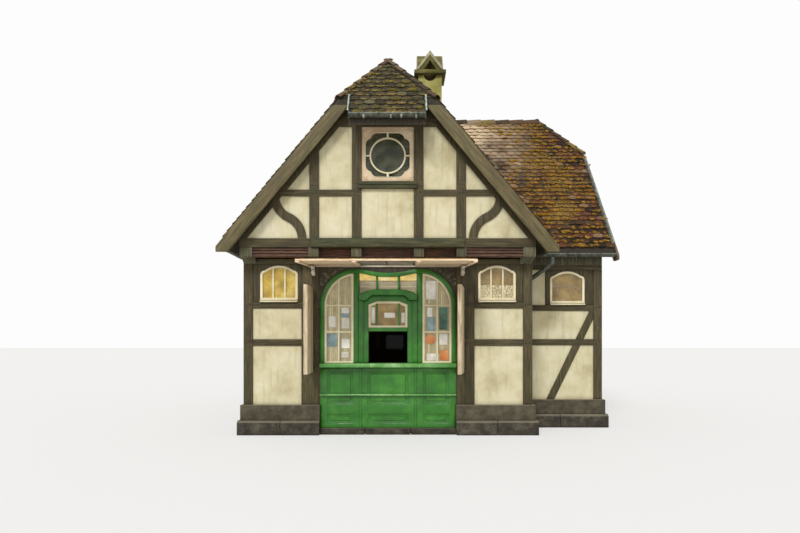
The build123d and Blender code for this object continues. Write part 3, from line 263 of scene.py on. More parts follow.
@dataclass(frozen=True)
class TimberFinish(Finish):
    """Hewn oak with an old dark oil stain: long soft streaks, drying checks and a thin green bloom."""

    dark: str
    middle: str
    light: str
    bloom: str
    bloom_share: float = 0.45
    grain: Grain = Grain.FRAME
    grain_mm: float = 26.0
    check_share: float = 2.4
    stretch: float = 0.07

    def along(self, recipe: Recipe) -> Node:
        """Coordinates that are short along the grain."""
        if self.grain is Grain.RAKE:
            return self.raking(recipe)
        short = self.stretch
        if self.grain is not Grain.FRAME:
            return recipe.place((short, short, 1.0) if self.grain is Grain.LEVEL else (1.0, 1.0, short))
        height = recipe.add("SeparateXYZ", {"Vector": recipe.place()}).outputs["Z"]
        share = recipe.add("Math", {0: height, 1: RAIL_SCALE}, operation="DIVIDE")
        stops = [(0.0, "#000000")]
        for low, high in RAIL_BANDS:
            stops += [(low / RAIL_SCALE, "#ffffff"), (high / RAIL_SCALE, "#000000")]
        ramp = recipe.add("ValToRGB", {"Fac": share}, stops=stops)
        ramp.color_ramp.interpolation = "CONSTANT"
        upright, level = recipe.place((1.0, 1.0, short)), recipe.place((short, short, 1.0))
        return recipe.add("Mix", {0: ramp, 4: upright, 5: level}, data_type="VECTOR")

    def raking(self, recipe: Recipe) -> Node:
        """Coordinates along and across the roof's slope, the same on both sides of a gable."""
        split = recipe.add("SeparateXYZ", {"Vector": recipe.place()}).outputs
        sides = [recipe.add("Math", {0: split[axis]}, operation="ABSOLUTE") for axis in ("X", "Y")]
        reach = recipe.add("Math", dict(enumerate(sides)), operation="MINIMUM")
        parts = []
        for factor, lift in ((math.cos(PITCH), -math.sin(PITCH)), (math.sin(PITCH), math.cos(PITCH))):
            part = recipe.add("Math", {0: reach, 1: factor}, operation="MULTIPLY")
            rise = recipe.add("Math", {0: split["Z"], 1: lift}, operation="MULTIPLY")
            parts.append(recipe.add("Math", {0: part, 1: rise}, operation="ADD"))
        long = recipe.add("Math", {0: parts[0], 1: self.stretch}, operation="MULTIPLY")
        return recipe.add("CombineXYZ", {"X": long, "Y": parts[1]})

    def coat(self, recipe: Recipe) -> dict:
        """Streaked grain, a bloom in patches, and checks that the bump opens."""
        fine = {"Vector": self.along(recipe), "Scale": 1000 / self.grain_mm}
        grain = recipe.add("TexNoise", {**fine, "Detail": 6.0, "Roughness": 0.65, "Distortion": 0.6})
        tones = [(0.34, self.dark), (0.5, self.middle), (0.68, self.light)]
        colour = recipe.add("ValToRGB", {"Fac": grain}, stops=tones)
        damp = recipe.add("TexNoise", {**recipe.sized(420), "Detail": 5.0, "Roughness": 0.7})
        colour = recipe.laid(colour, self.bloom, damp, (0.45, 0.75), self.bloom_share)
        # The corners darken with painted shade and dirt.
        colour = recipe.dirt_and_corner_shade(recipe.own_tone(colour, 0.86, 1.12), "#231e18", 0.05, 0.6)
        checks = recipe.add("TexNoise", {**fine, "Scale": fine["Scale"] * self.check_share, "Detail": 2.0})
        height = recipe.add("Math", {0: grain, 1: checks}, operation="ADD")
        bump = recipe.add("Bump", {"Height": height, "Strength": 0.55, "Distance": 0.006})
        rough = recipe.add("MapRange", {"Value": grain, "To Min": 0.62, "To Max": 0.9})
        return {"Base Color": colour, "Roughness": rough, "Normal": bump, "IOR": 1.5}


@dataclass(frozen=True)
class LimeRenderFinish(Finish):
    """Lime plaster laid with a wood float: soft clouds, fine sand and grey runs under the rails."""

    shade: str
    middle: str
    light: str
    stain: str
    dirt_and_shade: str = "#7f7454"
    dirt_and_shade_share: float = 0.55
    sand_mm: float = 7.0

    def coat(self, recipe: Recipe) -> dict:
        """Clouds and runs for the colour, sand and float marks for the bump."""
        clouds = recipe.add("TexNoise", {**recipe.sized(520), "Detail": 7.0, "Roughness": 0.62})
        tones = [(0.32, self.shade), (0.5, self.middle), (0.7, self.light)]
        colour = recipe.add("ValToRGB", {"Fac": clouds}, stops=tones)
        runs = recipe.add("TexNoise", {**recipe.sized(70, (1.0, 1.0, 0.12)), "Detail": 5.0})
        colour = recipe.laid(colour, self.stain, runs, (0.54, 0.8), 0.5)
        # Corners darken with painted shade and dirt.
        colour = recipe.dirt_and_corner_shade(colour, self.dirt_and_shade, 0.07, self.dirt_and_shade_share)
        sand = recipe.add("TexNoise", {**recipe.sized(self.sand_mm), "Detail": 3.0})
        float_marks = recipe.add("TexNoise", {**recipe.sized(130), "Detail": 4.0})
        marks = recipe.add("Math", {0: float_marks, 1: 2.2}, operation="MULTIPLY")
        height = recipe.add("Math", {0: sand, 1: marks}, operation="ADD")
        bump = recipe.add("Bump", {"Height": height, "Strength": 0.5, "Distance": 0.004})
        return {"Base Color": colour, "Roughness": 0.92, "Normal": bump, "Specular IOR Level": 0.3}


@dataclass(frozen=True)
class GlossPaintFinish(Finish):
    """Brushed linseed paint on joinery: an even coat, a soft shine, corners dark with painted shade and dirt,
    and chalky worn spots.
    """

    middle: str
    shade: str
    light: str
    dirt_and_shade: str
    dirt_and_shade_share: float = 0.75
    dirt_and_shade_reach: float = 0.035
    rough: float = 0.38
    chalk_share: float = 0.35

    def coat(self, recipe: Recipe) -> dict:
        """A clouded coat, chalk where it is worn, and the brush's strokes in the bump."""
        patches = recipe.add("TexNoise", {**recipe.sized(330), "Detail": 6.0, "Roughness": 0.65})
        tones = [(0.3, self.shade), (0.52, self.middle), (0.72, self.light)]
        colour = recipe.add("ValToRGB", {"Fac": patches}, stops=tones)
        worn = recipe.add("TexNoise", {**recipe.sized(28), "Detail": 8.0, "Roughness": 0.75})
        colour = recipe.laid(colour, self.light, worn, (0.6, 0.8), self.chalk_share)
        # Corners darken with painted shade and dirt.
        colour = recipe.dirt_and_corner_shade(colour, self.dirt_and_shade, self.dirt_and_shade_reach, self.dirt_and_shade_share)
        brush = recipe.add("TexNoise", {**recipe.sized(9, (1.0, 1.0, 0.1)), "Detail": 3.0})
        bump = recipe.add("Bump", {"Height": brush, "Strength": 0.25, "Distance": 0.0015})
        low, high = self.rough - 0.1, self.rough + 0.2
        rough = recipe.add("MapRange", {"Value": worn, "To Min": low, "To Max": high})
        return {"Base Color": colour, "Roughness": rough, "Normal": bump, "Coat Weight": 0.25}


class Seam(Enum):
    """The axis across which boards lie side by side."""

    X = "X"
    Y = "Y"
    Z = "Z"


UPRIGHT_BOARD = (1.0, 1.0, 0.06)
LEVEL_BOARD = (0.06, 1.0, 1.0)


@dataclass(frozen=True)
class RawBoardFinish(Finish):
    """Sawn softwood left bare: pale ribs of summer wood, weathered grey, and each board with its own tone."""

    dark: str = "#6d543c"
    middle: str = "#9b7f60"
    light: str = "#c2aa8b"
    seam: Seam = Seam.X
    board_mm: float = 120.0
    stretch: Solid = UPRIGHT_BOARD
    glow: float = 0.0
    grain_mm: float = 16.0

    def coat(self, recipe: Recipe) -> dict:
        """Boards side by side, each with its own tone and grain, and a dark gap between them."""
        across = recipe.add("SeparateXYZ", {"Vector": recipe.place()}).outputs[self.seam.value]
        number = recipe.add("Math", {0: across, 1: 1000 / self.board_mm}, operation="MULTIPLY")
        board = recipe.add("Math", {0: number}, operation="FLOOR")
        tone = recipe.add("TexWhiteNoise", {"W": board}, noise_dimensions="1D")
        shifted = recipe.add("CombineXYZ", {"X": tone, "Y": tone, "Z": tone})
        place = recipe.add("VectorMath", {0: recipe.place(self.stretch), 1: shifted}, operation="ADD")
        fine = {"Vector": place, "Scale": 1000 / self.grain_mm}
        grain = recipe.add("TexNoise", {**fine, "Detail": 6.0, "Roughness": 0.6, "Distortion": 0.8})
        tones = [(0.33, self.dark), (0.5, self.middle), (0.7, self.light)]
        colour = recipe.add("ValToRGB", {"Fac": grain}, stops=tones)
        shade = recipe.add("MapRange", {"Value": tone, "To Min": 0.78, "To Max": 1.15})
        colour = recipe.add("Mix", {0: 1.0, 6: colour, 7: shade}, data_type="RGBA", blend_type="MULTIPLY")
        inside = recipe.add("Math", {0: number}, operation="FRACT")
        away = recipe.add("Math", {0: inside, 1: 0.5}, operation="SUBTRACT")
        edge = recipe.add("Math", {0: away}, operation="ABSOLUTE")
        gap = recipe.add("MapRange", {"Value": edge, "From Min": 0.46, "From Max": 0.49})
        colour = recipe.add("Mix", {0: gap, 6: colour, 7: linear("#2c2118")}, data_type="RGBA")
        # Corners darken with painted shade and dirt.
        colour = recipe.dirt_and_corner_shade(colour, "#3b2f22", 0.04, 0.5)
        lift = recipe.add("Math", {0: grain, 1: gap}, operation="SUBTRACT")
        bump = recipe.add("Bump", {"Height": lift, "Strength": 0.6, "Distance": 0.003})
        sockets = {"Base Color": colour, "Roughness": 0.8, "Normal": bump}
        # A board that is set to glow gives off painted light, though it is no lamp.
        return sockets | ({"Emission Color": colour, "Emission Strength": self.glow} if self.glow else {})


@dataclass(frozen=True)
class FiredClayFinish(Finish):
    """Fired clay tiles, each burnt a little differently: painted shade with soot in the laps, mossy edges and
    pale dry tops.
    """

    burnt: str
    middle: str
    red: str
    pale: str
    moss_dark: str
    moss_light: str
    moss_share: float = 0.5
    edge_moss: float = 0.30
    moss_mm: float = 46.0
    dry: str = "#b7a38c"
    dry_share: float = 0.0
    dry_heights: Flat = (5.0, 6.1)
    dry_sides: Flat = (3.0, 1.8)
    bare_sides: Flat = (9.0, 10.0)

    def fired(self, recipe: Recipe, fine: Node) -> Node:
        """Each tile's own burnt colour, with soot in its pores."""
        own = recipe.add("NewGeometry").outputs["Random Per Island"]
        tones = [(0.0, self.burnt), (0.35, self.middle), (0.6, self.red)]
        tones += [(0.82, self.middle), (1.0, self.pale)]
        colour = recipe.add("ValToRGB", {"Fac": own}, stops=tones)
        pores = {"Value": fine, "From Min": 0.3, "From Max": 0.6, "To Min": 0.5, "To Max": 1.1}
        soot = recipe.add("MapRange", pores)
        return recipe.add("Mix", {0: 1.0, 6: colour, 7: soot}, data_type="RGBA", blend_type="MULTIPLY")

    def dryness(self, recipe: Recipe, where: dict, clouds: Node) -> Node:
        """How far the upper courses have dried out and bleached, patch by patch.

        Args:
            recipe: The material that is being made.
            where: The sockets of the place on the roof.
            clouds: Large soft patches.

        Returns:
            The share of the bleached colour.
        """
        low, high = self.dry_heights
        wet_side, dry_side = self.dry_sides
        share = recipe.add("MapRange", {"Value": where["Z"], "From Min": low, "From Max": high})
        reach = recipe.add("MapRange", {"Value": where["X"], "From Min": wet_side, "From Max": dry_side})
        patchy = recipe.add("MapRange", {"Value": clouds, "From Min": 0.34, "From Max": 0.5})
        for factor in (reach, patchy, self.dry_share):
            share = recipe.add("Math", {0: share, 1: factor}, operation="MULTIPLY")
        return share

    def edge_growth(self, recipe: Recipe) -> Node:
        """Moss along the lower edges, in broken lengths."""
        edge = recipe.add("Attribute", attribute_name="lower_edge").outputs["Fac"]
        rise = {"Value": edge, "From Min": 0.5, "From Max": 0.95, "To Max": self.edge_moss}
        low_end = recipe.add("MapRange", rise)
        broken = recipe.add("TexNoise", {**recipe.sized(240), "Detail": 3.0, "Roughness": 0.6})
        gaps = {"Value": broken, "From Min": 0.42, "From Max": 0.6, "To Min": 0.25, "To Max": 1.35}
        return recipe.add("Math", {0: low_end, 1: recipe.add("MapRange", gaps)}, operation="MULTIPLY")

    def coat(self, recipe: Recipe) -> dict:
        """Clay, then bleaching, then moss wherever it is wet enough."""
        clouds = recipe.add("TexNoise", {**recipe.sized(900), "Detail": 4.0})
        fine = recipe.add("TexNoise", {**recipe.sized(self.moss_mm), "Detail": 7.0, "Roughness": 0.7})
        where = recipe.add("SeparateXYZ", {"Vector": recipe.place()}).outputs
        dryness = self.dryness(recipe, where, clouds)
        clay = self.fired(recipe, fine)
        colour = recipe.add("Mix", {0: dryness, 6: clay, 7: linear(self.dry)}, data_type="RGBA")
        wet = recipe.add("Math", {0: clouds, 1: fine}, operation="ADD")
        wet = recipe.add("Math", {0: wet, 1: self.edge_growth(recipe)}, operation="ADD")
        start, end = self.bare_sides
        bare = recipe.add("MapRange", {"Value": where["X"], "From Min": start, "From Max": end})
        poor = recipe.add("Math", {0: dryness, 1: bare}, operation="ADD")
        less = recipe.add("Math", {0: poor, 1: -0.22}, operation="MULTIPLY")
        wet = recipe.add("Math", {0: wet, 1: less}, operation="ADD")
        low = 1.24 - 0.42 * self.moss_share
        share = recipe.add("MapRange", {"Value": wet, "From Min": low - 0.08, "From Max": low + 0.06})
        tufts = recipe.add("TexNoise", {**recipe.sized(17), "Detail": 5.0, "Roughness": 0.75})
        moss = recipe.add("ValToRGB", {"Fac": tufts}, stops=[(0.38, self.moss_dark), (0.6, self.moss_light)])
        colour = recipe.add("Mix", {0: share, 6: colour, 7: moss}, data_type="RGBA")
        # The laps and corners darken with painted shade and soot.
        colour = recipe.dirt_and_corner_shade(colour, "#16110c", 0.03, 0.85)
        height = recipe.add("Math", {0: tufts, 1: share}, operation="MULTIPLY_ADD")
        bump = recipe.add("Bump", {"Height": height, "Strength": 0.7, "Distance": 0.008})
        return {"Base Color": colour, "Roughness": 0.9, "Normal": bump, "Specular IOR Level": 0.3}


@dataclass(frozen=True)
class MossFinish(Finish):
    """Cushions of roof moss: dry and golden on their tops, dark between the stems, and without any shine."""

    dark: str
    middle: str
    light: str

    def coat(self, recipe: Recipe) -> dict:
        """Stems, and a tone of its own on each cushion."""
        stems = recipe.add("TexNoise", {**recipe.sized(12), "Detail": 6.0, "Roughness": 0.75})
        tones = [(0.36, self.dark), (0.5, self.middle), (0.64, self.light)]
        colour = recipe.own_tone(recipe.add("ValToRGB", {"Fac": stems}, stops=tones), 0.7, 1.25)
        bump = recipe.add("Bump", {"Height": stems, "Strength": 0.9, "Distance": 0.006})
        return {"Base Color": colour, "Roughness": 1.0, "Normal": bump, "Specular IOR Level": 0.1}


@dataclass(frozen=True)
class StoneFinish(Finish):
    """Rough mineral surfaces, such as cut basalt, cement render or concrete, with grit, and ledges pale with
    dust and with painted top light.
    """

    dark: str
    middle: str
    light: str
    grit_mm: float = 9.0
    relief: float = 0.006
    dirt_and_shade: str = "#26221c"
    dirt_and_shade_share: float = 0.6
    dust: str = "#8f8872"
    dust_and_top_light_share: float = 0.55

    def coat(self, recipe: Recipe) -> dict:
        """Mottled stone, joints and corners dark with painted shade and dirt, and what faces up pale with dust
        and painted top light.
        """
        patches = recipe.add("TexNoise", {**recipe.sized(180), "Detail": 8.0, "Roughness": 0.7})
        tones = [(0.33, self.dark), (0.5, self.middle), (0.7, self.light)]
        colour = recipe.own_tone(recipe.add("ValToRGB", {"Fac": patches}, stops=tones), 0.85, 1.15)
        # Joints and corners darken with painted shade and dirt.
        colour = recipe.dirt_and_corner_shade(colour, self.dirt_and_shade, 0.05, self.dirt_and_shade_share)
        # Faces that point up are made paler: dust, and painted top light as well.
        facing = recipe.add("NewGeometry").outputs["Normal"]
        top_light_and_dust = recipe.add("SeparateXYZ", {"Vector": facing}).outputs["Z"]
        colour = recipe.laid(colour, self.dust, top_light_and_dust, (0.3, 0.75), self.dust_and_top_light_share)
        grit = recipe.add("TexNoise", {**recipe.sized(self.grit_mm), "Detail": 6.0, "Roughness": 0.7})
        height = recipe.add("Math", {0: patches, 1: grit}, operation="ADD")
        bump = recipe.add("Bump", {"Height": height, "Strength": 0.7, "Distance": self.relief})
        return {"Base Color": colour, "Roughness": 0.88, "Normal": bump, "Specular IOR Level": 0.35}


@dataclass(frozen=True)
class SheetMetalFinish(Finish):
    """Rolled zinc or painted sheet: dull, cloudy with oxide, and streaked where water runs."""

    dark: str
    light: str
    metallic: float = 0.55
    rough: float = 0.5

    def coat(self, recipe: Recipe) -> dict:
        """Oxide in streaks, which dulls the metal too."""
        oxide = recipe.add("TexNoise", {**recipe.sized(60, (1.0, 1.0, 0.4)), "Detail": 7.0})
        colour = recipe.add("ValToRGB", {"Fac": oxide}, stops=[(0.35, self.dark), (0.65, self.light)])
        low, high = self.rough - 0.15, self.rough + 0.25
        rough = recipe.add("MapRange", {"Value": oxide, "To Min": low, "To Max": high})
        bump = recipe.add("Bump", {"Height": oxide, "Strength": 0.3, "Distance": 0.002})
        return {"Base Color": colour, "Roughness": rough, "Normal": bump, "Metallic": self.metallic}


@dataclass(frozen=True)
class GlassFinish(Finish):
    """Drawn window glass with a film of dust, so a pane shows as a thin haze over what is behind it."""

    tint: str
    dust: str
    haze: float

    def coat(self, recipe: Recipe) -> dict:
        """A film that is thicker in patches."""
        film = recipe.add("TexNoise", {**recipe.sized(150), "Detail": 6.0, "Roughness": 0.6})
        colour = recipe.add("ValToRGB", {"Fac": film}, stops=[(0.4, self.tint), (0.75, self.dust)])
        limits = {"From Min": 0.3, "From Max": 0.8, "To Min": self.haze, "To Max": self.haze + 0.2}
        alpha = recipe.add("MapRange", {"Value": film, **limits})
        return {"Base Color": colour, "Alpha": alpha, "Roughness": 0.08, "IOR": 1.52, "Coat Weight": 0.6}


@dataclass(frozen=True)
class SheetFinish(Finish):
    """Paper, card or woven blind cloth: a fine even tooth, a little fading, and a glow of painted light on the
    ones that are set to glow.
    """

    middle: str
    light: str
    dark: str
    glow: float = 0.0
    tooth_mm: float = 5.0
    fade_mm: float = 210.0

    def coat(self, recipe: Recipe) -> dict:
        """Faded patches and the sheet's tooth."""
        fade = recipe.add("TexNoise", {**recipe.sized(self.fade_mm), "Detail": 4.0})
        tones = [(0.32, self.dark), (0.5, self.middle), (0.68, self.light)]
        colour = recipe.add("ValToRGB", {"Fac": fade}, stops=tones)
        tooth = recipe.add("TexNoise", {**recipe.sized(self.tooth_mm), "Detail": 2.0})
        bump = recipe.add("Bump", {"Height": tooth, "Strength": 0.3, "Distance": 0.001})
        sockets = {"Base Color": colour, "Roughness": 0.8, "Normal": bump}
        # A sheet that is set to glow gives off painted light, though it is no lamp.
        return sockets | ({"Emission Color": colour, "Emission Strength": self.glow} if self.glow else {})


FINISHES = (
    TimberFinish("oiled_oak_frame", "#302918", "#483e26", "#665b3b", "#484a26"),
    TimberFinish("oiled_oak_shopfront", "#2b241b", "#3f3629", "#544a39", "#383022"),
    TimberFinish("weathered_oak_barge", "#443c25", "#615638", "#7f7350", "#565433", 0.4, Grain.RAKE, 30.0),
    TimberFinish("mossy_oak_drip_boards", "#292a17", "#3f4026", "#5e5d3c", "#37401f", 0.7, Grain.LEVEL),
    TimberFinish("stained_oak_carving", "#322118", "#563a2b", "#8a6449", "#4f3e2a", 0.3, Grain.LEVEL, 18.0),
    TimberFinish("greyed_oak_beam_ends", "#3b3828", "#58543d", "#837d60", "#4b4d2f", 0.6, Grain.UPRIGHT),
    TimberFinish("dark_oak_soffit", "#231d14", "#342c1f", "#483f2d", "#2f2c1b"),
    LimeRenderFinish("lime_plaster", "#beb38d", "#d8cfaa", "#e7e1c5", "#a1987a"),
    LimeRenderFinish("chimney_render", "#75723b", "#98924f", "#bdb577", "#56582a", "#3d3c1e", 0.75, 10.0),
    LimeRenderFinish("mossy_chimney_cap", "#454420", "#605c31", "#968d5a", "#383f1a", "#292a13", 0.85, 10.0),
    GlossPaintFinish("green_linseed_paint", "#2b7517", "#215a11", "#438d28", "#0e2f0b", chalk_share=0.16),
    GlossPaintFinish("pale_green_paint", "#5f9f4c", "#458a3a", "#9cc987", "#1e4a1c"),
    GlossPaintFinish("cream_linseed_paint", "#e9dfb9", "#d9cba0", "#f5efd6", "#8f7f5c",
                     0.45, 0.015, 0.45, 0.2),
    GlossPaintFinish("pink_cream_paint", "#dcc19c", "#c9a985", "#ecdabd", "#7a5f46", 0.45, 0.015, 0.45, 0.2),
    GlossPaintFinish("door_paint", "#4a4136", "#39322a", "#5e5446", "#1f1a15", 0.6, 0.03, 0.5),
    GlossPaintFinish("iron_paint", "#2a2724", "#1d1b19", "#45403a", "#141210", 0.5, 0.02, 0.45),
    GlossPaintFinish("limewashed_brackets", "#c9bda6", "#a99b80", "#e6dfcf", "#5b4f3e", 0.6, 0.03, 0.7),
    # Paler than bare spruce: the raised tones paint in the light that the canopy's shaded underside catches
    # from below.
    RawBoardFinish("bare_spruce_canopy", "#bd9d77", "#e6caa6", "#fae9cd", Seam.Y, 145, LEVEL_BOARD),
    RawBoardFinish("bare_spruce_shutters", "#968467", "#c6b291", "#e5d6b9", Seam.Y, 118),
    RawBoardFinish("greyed_battens", "#77705f", "#9a9382", "#bdb6a4", Seam.X, 400, LEVEL_BOARD),
    RawBoardFinish("spruce_floor_boards", seam=Seam.Y, board_mm=140, stretch=LEVEL_BOARD),
    # Glows a little: painted light on the blinds behind the glass.
    RawBoardFinish("slatted_blind", "#b3a07d", "#c7b692", "#dacbab", Seam.Z, 21, LEVEL_BOARD, 0.22),
    # Glows faintly: painted light on the boards in the dim space behind the glass.
    RawBoardFinish("display_board", "#c2b182", "#d8c99b", "#eadeb7", Seam.X, 34, glow=0.24),
    FiredClayFinish("clay_tiles_main", "#2c251b", "#493a2a", "#624634", "#7a6a52", "#37331a", "#8a7536",
                    0.20, 0.20),
    FiredClayFinish("clay_tiles_wing", "#20160d", "#3d2a18", "#693e27", "#92745a", "#33250d", "#b08a3c",
                    0.40, 0.18, dry="#dcc29f", dry_share=0.86, dry_heights=(4.1, 5.2), bare_sides=(3.1, 3.9)),
    FiredClayFinish("clay_tiles_hip", "#28261a", "#433f2a", "#554b35", "#6d6a4b", "#3d3d1c", "#a3864a",
                    0.16, 0.22),
    FiredClayFinish("clay_ridge_tiles", "#3b3026", "#5c4734", "#70513b", "#a08e75", "#4b481d", "#a98938",
                    0.2),
    FiredClayFinish("clay_hip_caps", "#322a20", "#4d4230", "#5f4837", "#7d6d54", "#45441c", "#b79446", 0.3),
    MossFinish("golden_moss", "#241808", "#7a5619", "#dfb04c"),
    MossFinish("olive_moss", "#2c2a10", "#635a28", "#a58c4a"),
    StoneFinish("basalt_plinth", "#2b2822", "#423d34", "#67604f", 11.0, 0.008),
    StoneFinish("cast_cement_verge", "#857d60", "#a49c7e", "#c4bd9f", 9.0, 0.004, "#3f3b2a", 0.4),
    StoneFinish("cement_base_render", "#3c372b", "#4f493a", "#665f4d"),
    StoneFinish("poured_concrete", "#77736a", "#8f8a80", "#a5a096"),
    SheetMetalFinish("patinated_gutter_zinc", "#34362f", "#686c62"),
    SheetMetalFinish("bright_zinc", "#8d968c", "#c9d1c6", 0.5, 0.45),
    GlassFinish("shop_window_glass", "#6b716a", "#b1b1a3", 0.05),
    GlassFinish("small_window_glass", "#57523f", "#a59d7e", 0.10),
    # A dark sheet that paints the shade inside behind a pane.
    SheetFinish("painted_inner_shade", "#2c3c26", "#3b4a30", "#20301d"),
    # A warm sheet that glows: painted light standing for the room behind the glass.
    SheetFinish("painted_interior_glow", "#9f8450", "#bea069", "#7d653c", 0.26),
    # Glows strongly: painted light on the valances.
    SheetFinish("painted_glow_valance", "#f1d37c", "#fbe8b0", "#dab561", 0.8),
    # Glows warm yellow: painted lamplight, with no lamp behind it.
    SheetFinish("painted_lamplight_cloth", "#cfae42", "#e8d070", "#aa882b", 0.45),
    # A pale film that glows over the lower half of a pane: painted light.
    SheetFinish("pale_glowing_film", "#c4b588", "#fbf4da", "#8a7b54", 0.46, 14.0, 26.0),
    # The cards glow: painted light.
    SheetFinish("blank_card", "#ebe7db", "#f7f4ec", "#d6d0c1", 0.32),
    SheetFinish("grey_blue_card", "#8fabb3", "#bfd2d5", "#708b94", 0.26),
    SheetFinish("dark_green_card", "#2f6354", "#4d8b77", "#20483c", 0.22),
    SheetFinish("orange_card", "#e58a3d", "#f2ab68", "#c66b2c", 0.30),
)


def take(piece: Piece | None = None) -> None:
    """Leave edit mode, deselect everything, and select and activate one piece, if any."""
    if bpy.context.mode != "OBJECT":
        bpy.ops.object.mode_set(mode="OBJECT")
    bpy.ops.object.select_all(action="DESELECT")
    if piece:
        piece.select_set(True)
        bpy.context.view_layer.objects.active = piece


@contextmanager
def editing(piece: Piece) -> Iterator[None]:
    """Edit mode with all of a piece selected, and object mode again after it."""
    take(piece)
    bpy.ops.object.mode_set(mode="EDIT")
    bpy.ops.mesh.select_all(action="SELECT")
    yield
    bpy.ops.object.mode_set(mode="OBJECT")


def settle(piece: Piece) -> Piece:
    """Put a piece's place, turn and scale into its mesh."""
    take(piece)
    bpy.ops.object.transform_apply(location=True, rotation=True, scale=True)
    return piece


def smooth(piece: Piece, angle: float | None = None) -> Piece:
    """Shade a piece smooth, everywhere or only across edges up to an angle in degrees."""
    take(piece)
    if angle is None:
        bpy.ops.object.shade_smooth()
    else:
        bpy.ops.object.shade_smooth_by_angle(angle=math.radians(angle))
    return piece


def modified(piece: Piece, kind: str, **settings) -> Piece:
    """Give a piece a modifier with its settings, and apply it."""
    take(piece)
    modifier = piece.modifiers.new(kind.lower(), kind)
    for name, value in settings.items():
        setattr(modifier, name, value)
    bpy.ops.object.modifier_apply(modifier=modifier.name)
    return piece


def ease(piece: Piece, width: float, segments: int = 1) -> Piece:
    """Round a piece's hard edges a little, with a bevel of a width and a number of faces."""
    limit = math.radians(35)
    modified(piece, "BEVEL", width=width, segments=segments, limit_method="ANGLE", angle_limit=limit)
    return smooth(piece, 38)


def outwards(piece: Piece) -> Piece:
    """Turn a piece's faces outwards, for one that was mirrored, spun or laid through a left-handed place."""
    with editing(piece):
        bpy.ops.mesh.normals_make_consistent(inside=False)
    return piece


def thicken(piece: Piece, move: Sequence[float]) -> Piece:
    """Extrude a flat shape along a move into a closed solid."""
    with editing(piece):
        bpy.ops.mesh.extrude_region_move(TRANSFORM_OT_translate={"value": tuple(move)})
    return outwards(piece)


def trim(piece: Piece, point: Sequence[float], normal: Sequence[float], fill: bool = True) -> Piece:
    """Cut off what lies beyond a plane.

    Args:
        piece: The piece.
        point: A point on the plane.
        normal: Its direction, towards the side that goes.
        fill: True to close the cut.

    Returns:
        The same piece.
    """
    with editing(piece):
        bpy.ops.mesh.bisect(plane_co=point, plane_no=normal, use_fill=fill, clear_outer=True)
    return piece


def circle(vertices: int, radius: float = 1.0, axis: Solid = (0, 0, 0), fill: str = "NOTHING") -> Piece:
    """A flat circle round the origin, turned about the axes by degrees.

    Args:
        vertices: Its corners.
        radius: Its radius.
        axis: How far it is turned about each axis.
        fill: How its face is made.

    Returns:
        The circle, with its turn in its mesh.
    """
    take()
    turn = [math.radians(angle) for angle in axis]
    bpy.ops.mesh.primitive_circle_add(vertices=vertices, radius=radius, rotation=turn, fill_type=fill)
    return settle(bpy.context.object)


def plate(outline: Sequence[Flat], wall: Wall, proud: float, thickness: float, edge: float = 0.002) -> Piece:
    """A plate cut to an outline on a wall.

    Args:
        outline: Corners as (across, height), anticlockwise as seen from outside.
        wall: The wall that it lies on.
        proud: How far its outer face stands in front of the wall.
        thickness: Its thickness, behind that face.
        edge: Width of the bevel round its edges.

    Returns:
        The plate.
    """
    piece = circle(len(outline), fill="NGON")
    for vertex, (across, height) in zip(piece.data.vertices, outline):
        vertex.co = wall.point(across, height, proud - thickness)
    thicken(piece, wall.outward * thickness)
    return ease(piece, edge) if edge else piece


def bar(wall: Wall, sides: Flat, heights: Flat, proud: float, thickness: float, edge: float = 0.002) -> Piece:
    """A rectangular plate on a wall.

    Args:
        wall: The wall.
        sides: Its left and right edge.
        heights: Its lower and upper edge.
        proud: How far its outer face stands in front of the wall.
        thickness: Its thickness.
        edge: Width of the bevel round its edges.

    Returns:
        The plate.
    """
    return plate(corners(sides, heights), wall, proud, thickness, edge)


def about(middle: float, width: float) -> Flat:
    """The two edges of something round its middle."""
    return middle - width / 2, middle + width / 2


def corners(sides: Flat, heights: Flat) -> list[Flat]:
    """The corners of a rectangle, anticlockwise."""
    (left, right), (bottom, top) = sides, heights
    return [(left, bottom), (right, bottom), (right, top), (left, top)]


def ring(wall: Wall, centre: Flat, radii: Flat, proud: float, thickness: float) -> Piece:
    """A flat ring on a wall, its edges eased.

    Args:
        wall: The wall.
        centre: Its middle, as (across, height).
        radii: Its inner and outer radius.
        proud: How far its outer face stands in front of the wall.
        thickness: Its thickness.

    Returns:
        The ring.
    """
    inner, outer = radii
    piece = circle(64, outer, (90, 0, 0))
    with editing(piece):
        bpy.ops.mesh.extrude_edges_move()
        bpy.ops.transform.resize(value=(inner / outer, 1, inner / outer), center_override=(0, 0, 0))
    thicken(piece, (0, thickness, 0))
    piece.matrix_world = wall.matrix(*centre, proud - thickness)
    return ease(settle(piece), thickness * 0.2)


def join(pieces: Sequence[Piece], name: str) -> Piece:
    """Join pieces into one object with a name."""
    take(pieces[0])
    for piece in pieces[1:]:
        piece.select_set(True)
    if len(pieces) > 1:
        bpy.ops.object.join()
    pieces[0].name = name
    return pieces[0]


def tube(points: Sequence[Sequence[float]], radius: float, closed: bool = False) -> Piece:
    """A round bar along points, made a mesh.

    Args:
        points: The points of its middle line.
        radius: Its radius.
        closed: True for a ring.

    Returns:
        The bar.
    """
    line = bpy.data.curves.new("round_bar", "CURVE")
    line.dimensions = "3D"
    line.bevel_depth = radius
    line.bevel_resolution = 2
    line.use_fill_caps = True
    spline = line.splines.new("POLY")
    spline.points.add(len(points) - 1)
    for target, point in zip(spline.points, points):
        target.co = (*point, 1.0)
    spline.use_cyclic_u = closed
    piece = bpy.data.objects.new("round_bar", line)
    bpy.context.collection.objects.link(piece)
    take(piece)
    bpy.ops.object.convert(target="MESH")
    return smooth(piece, 50)


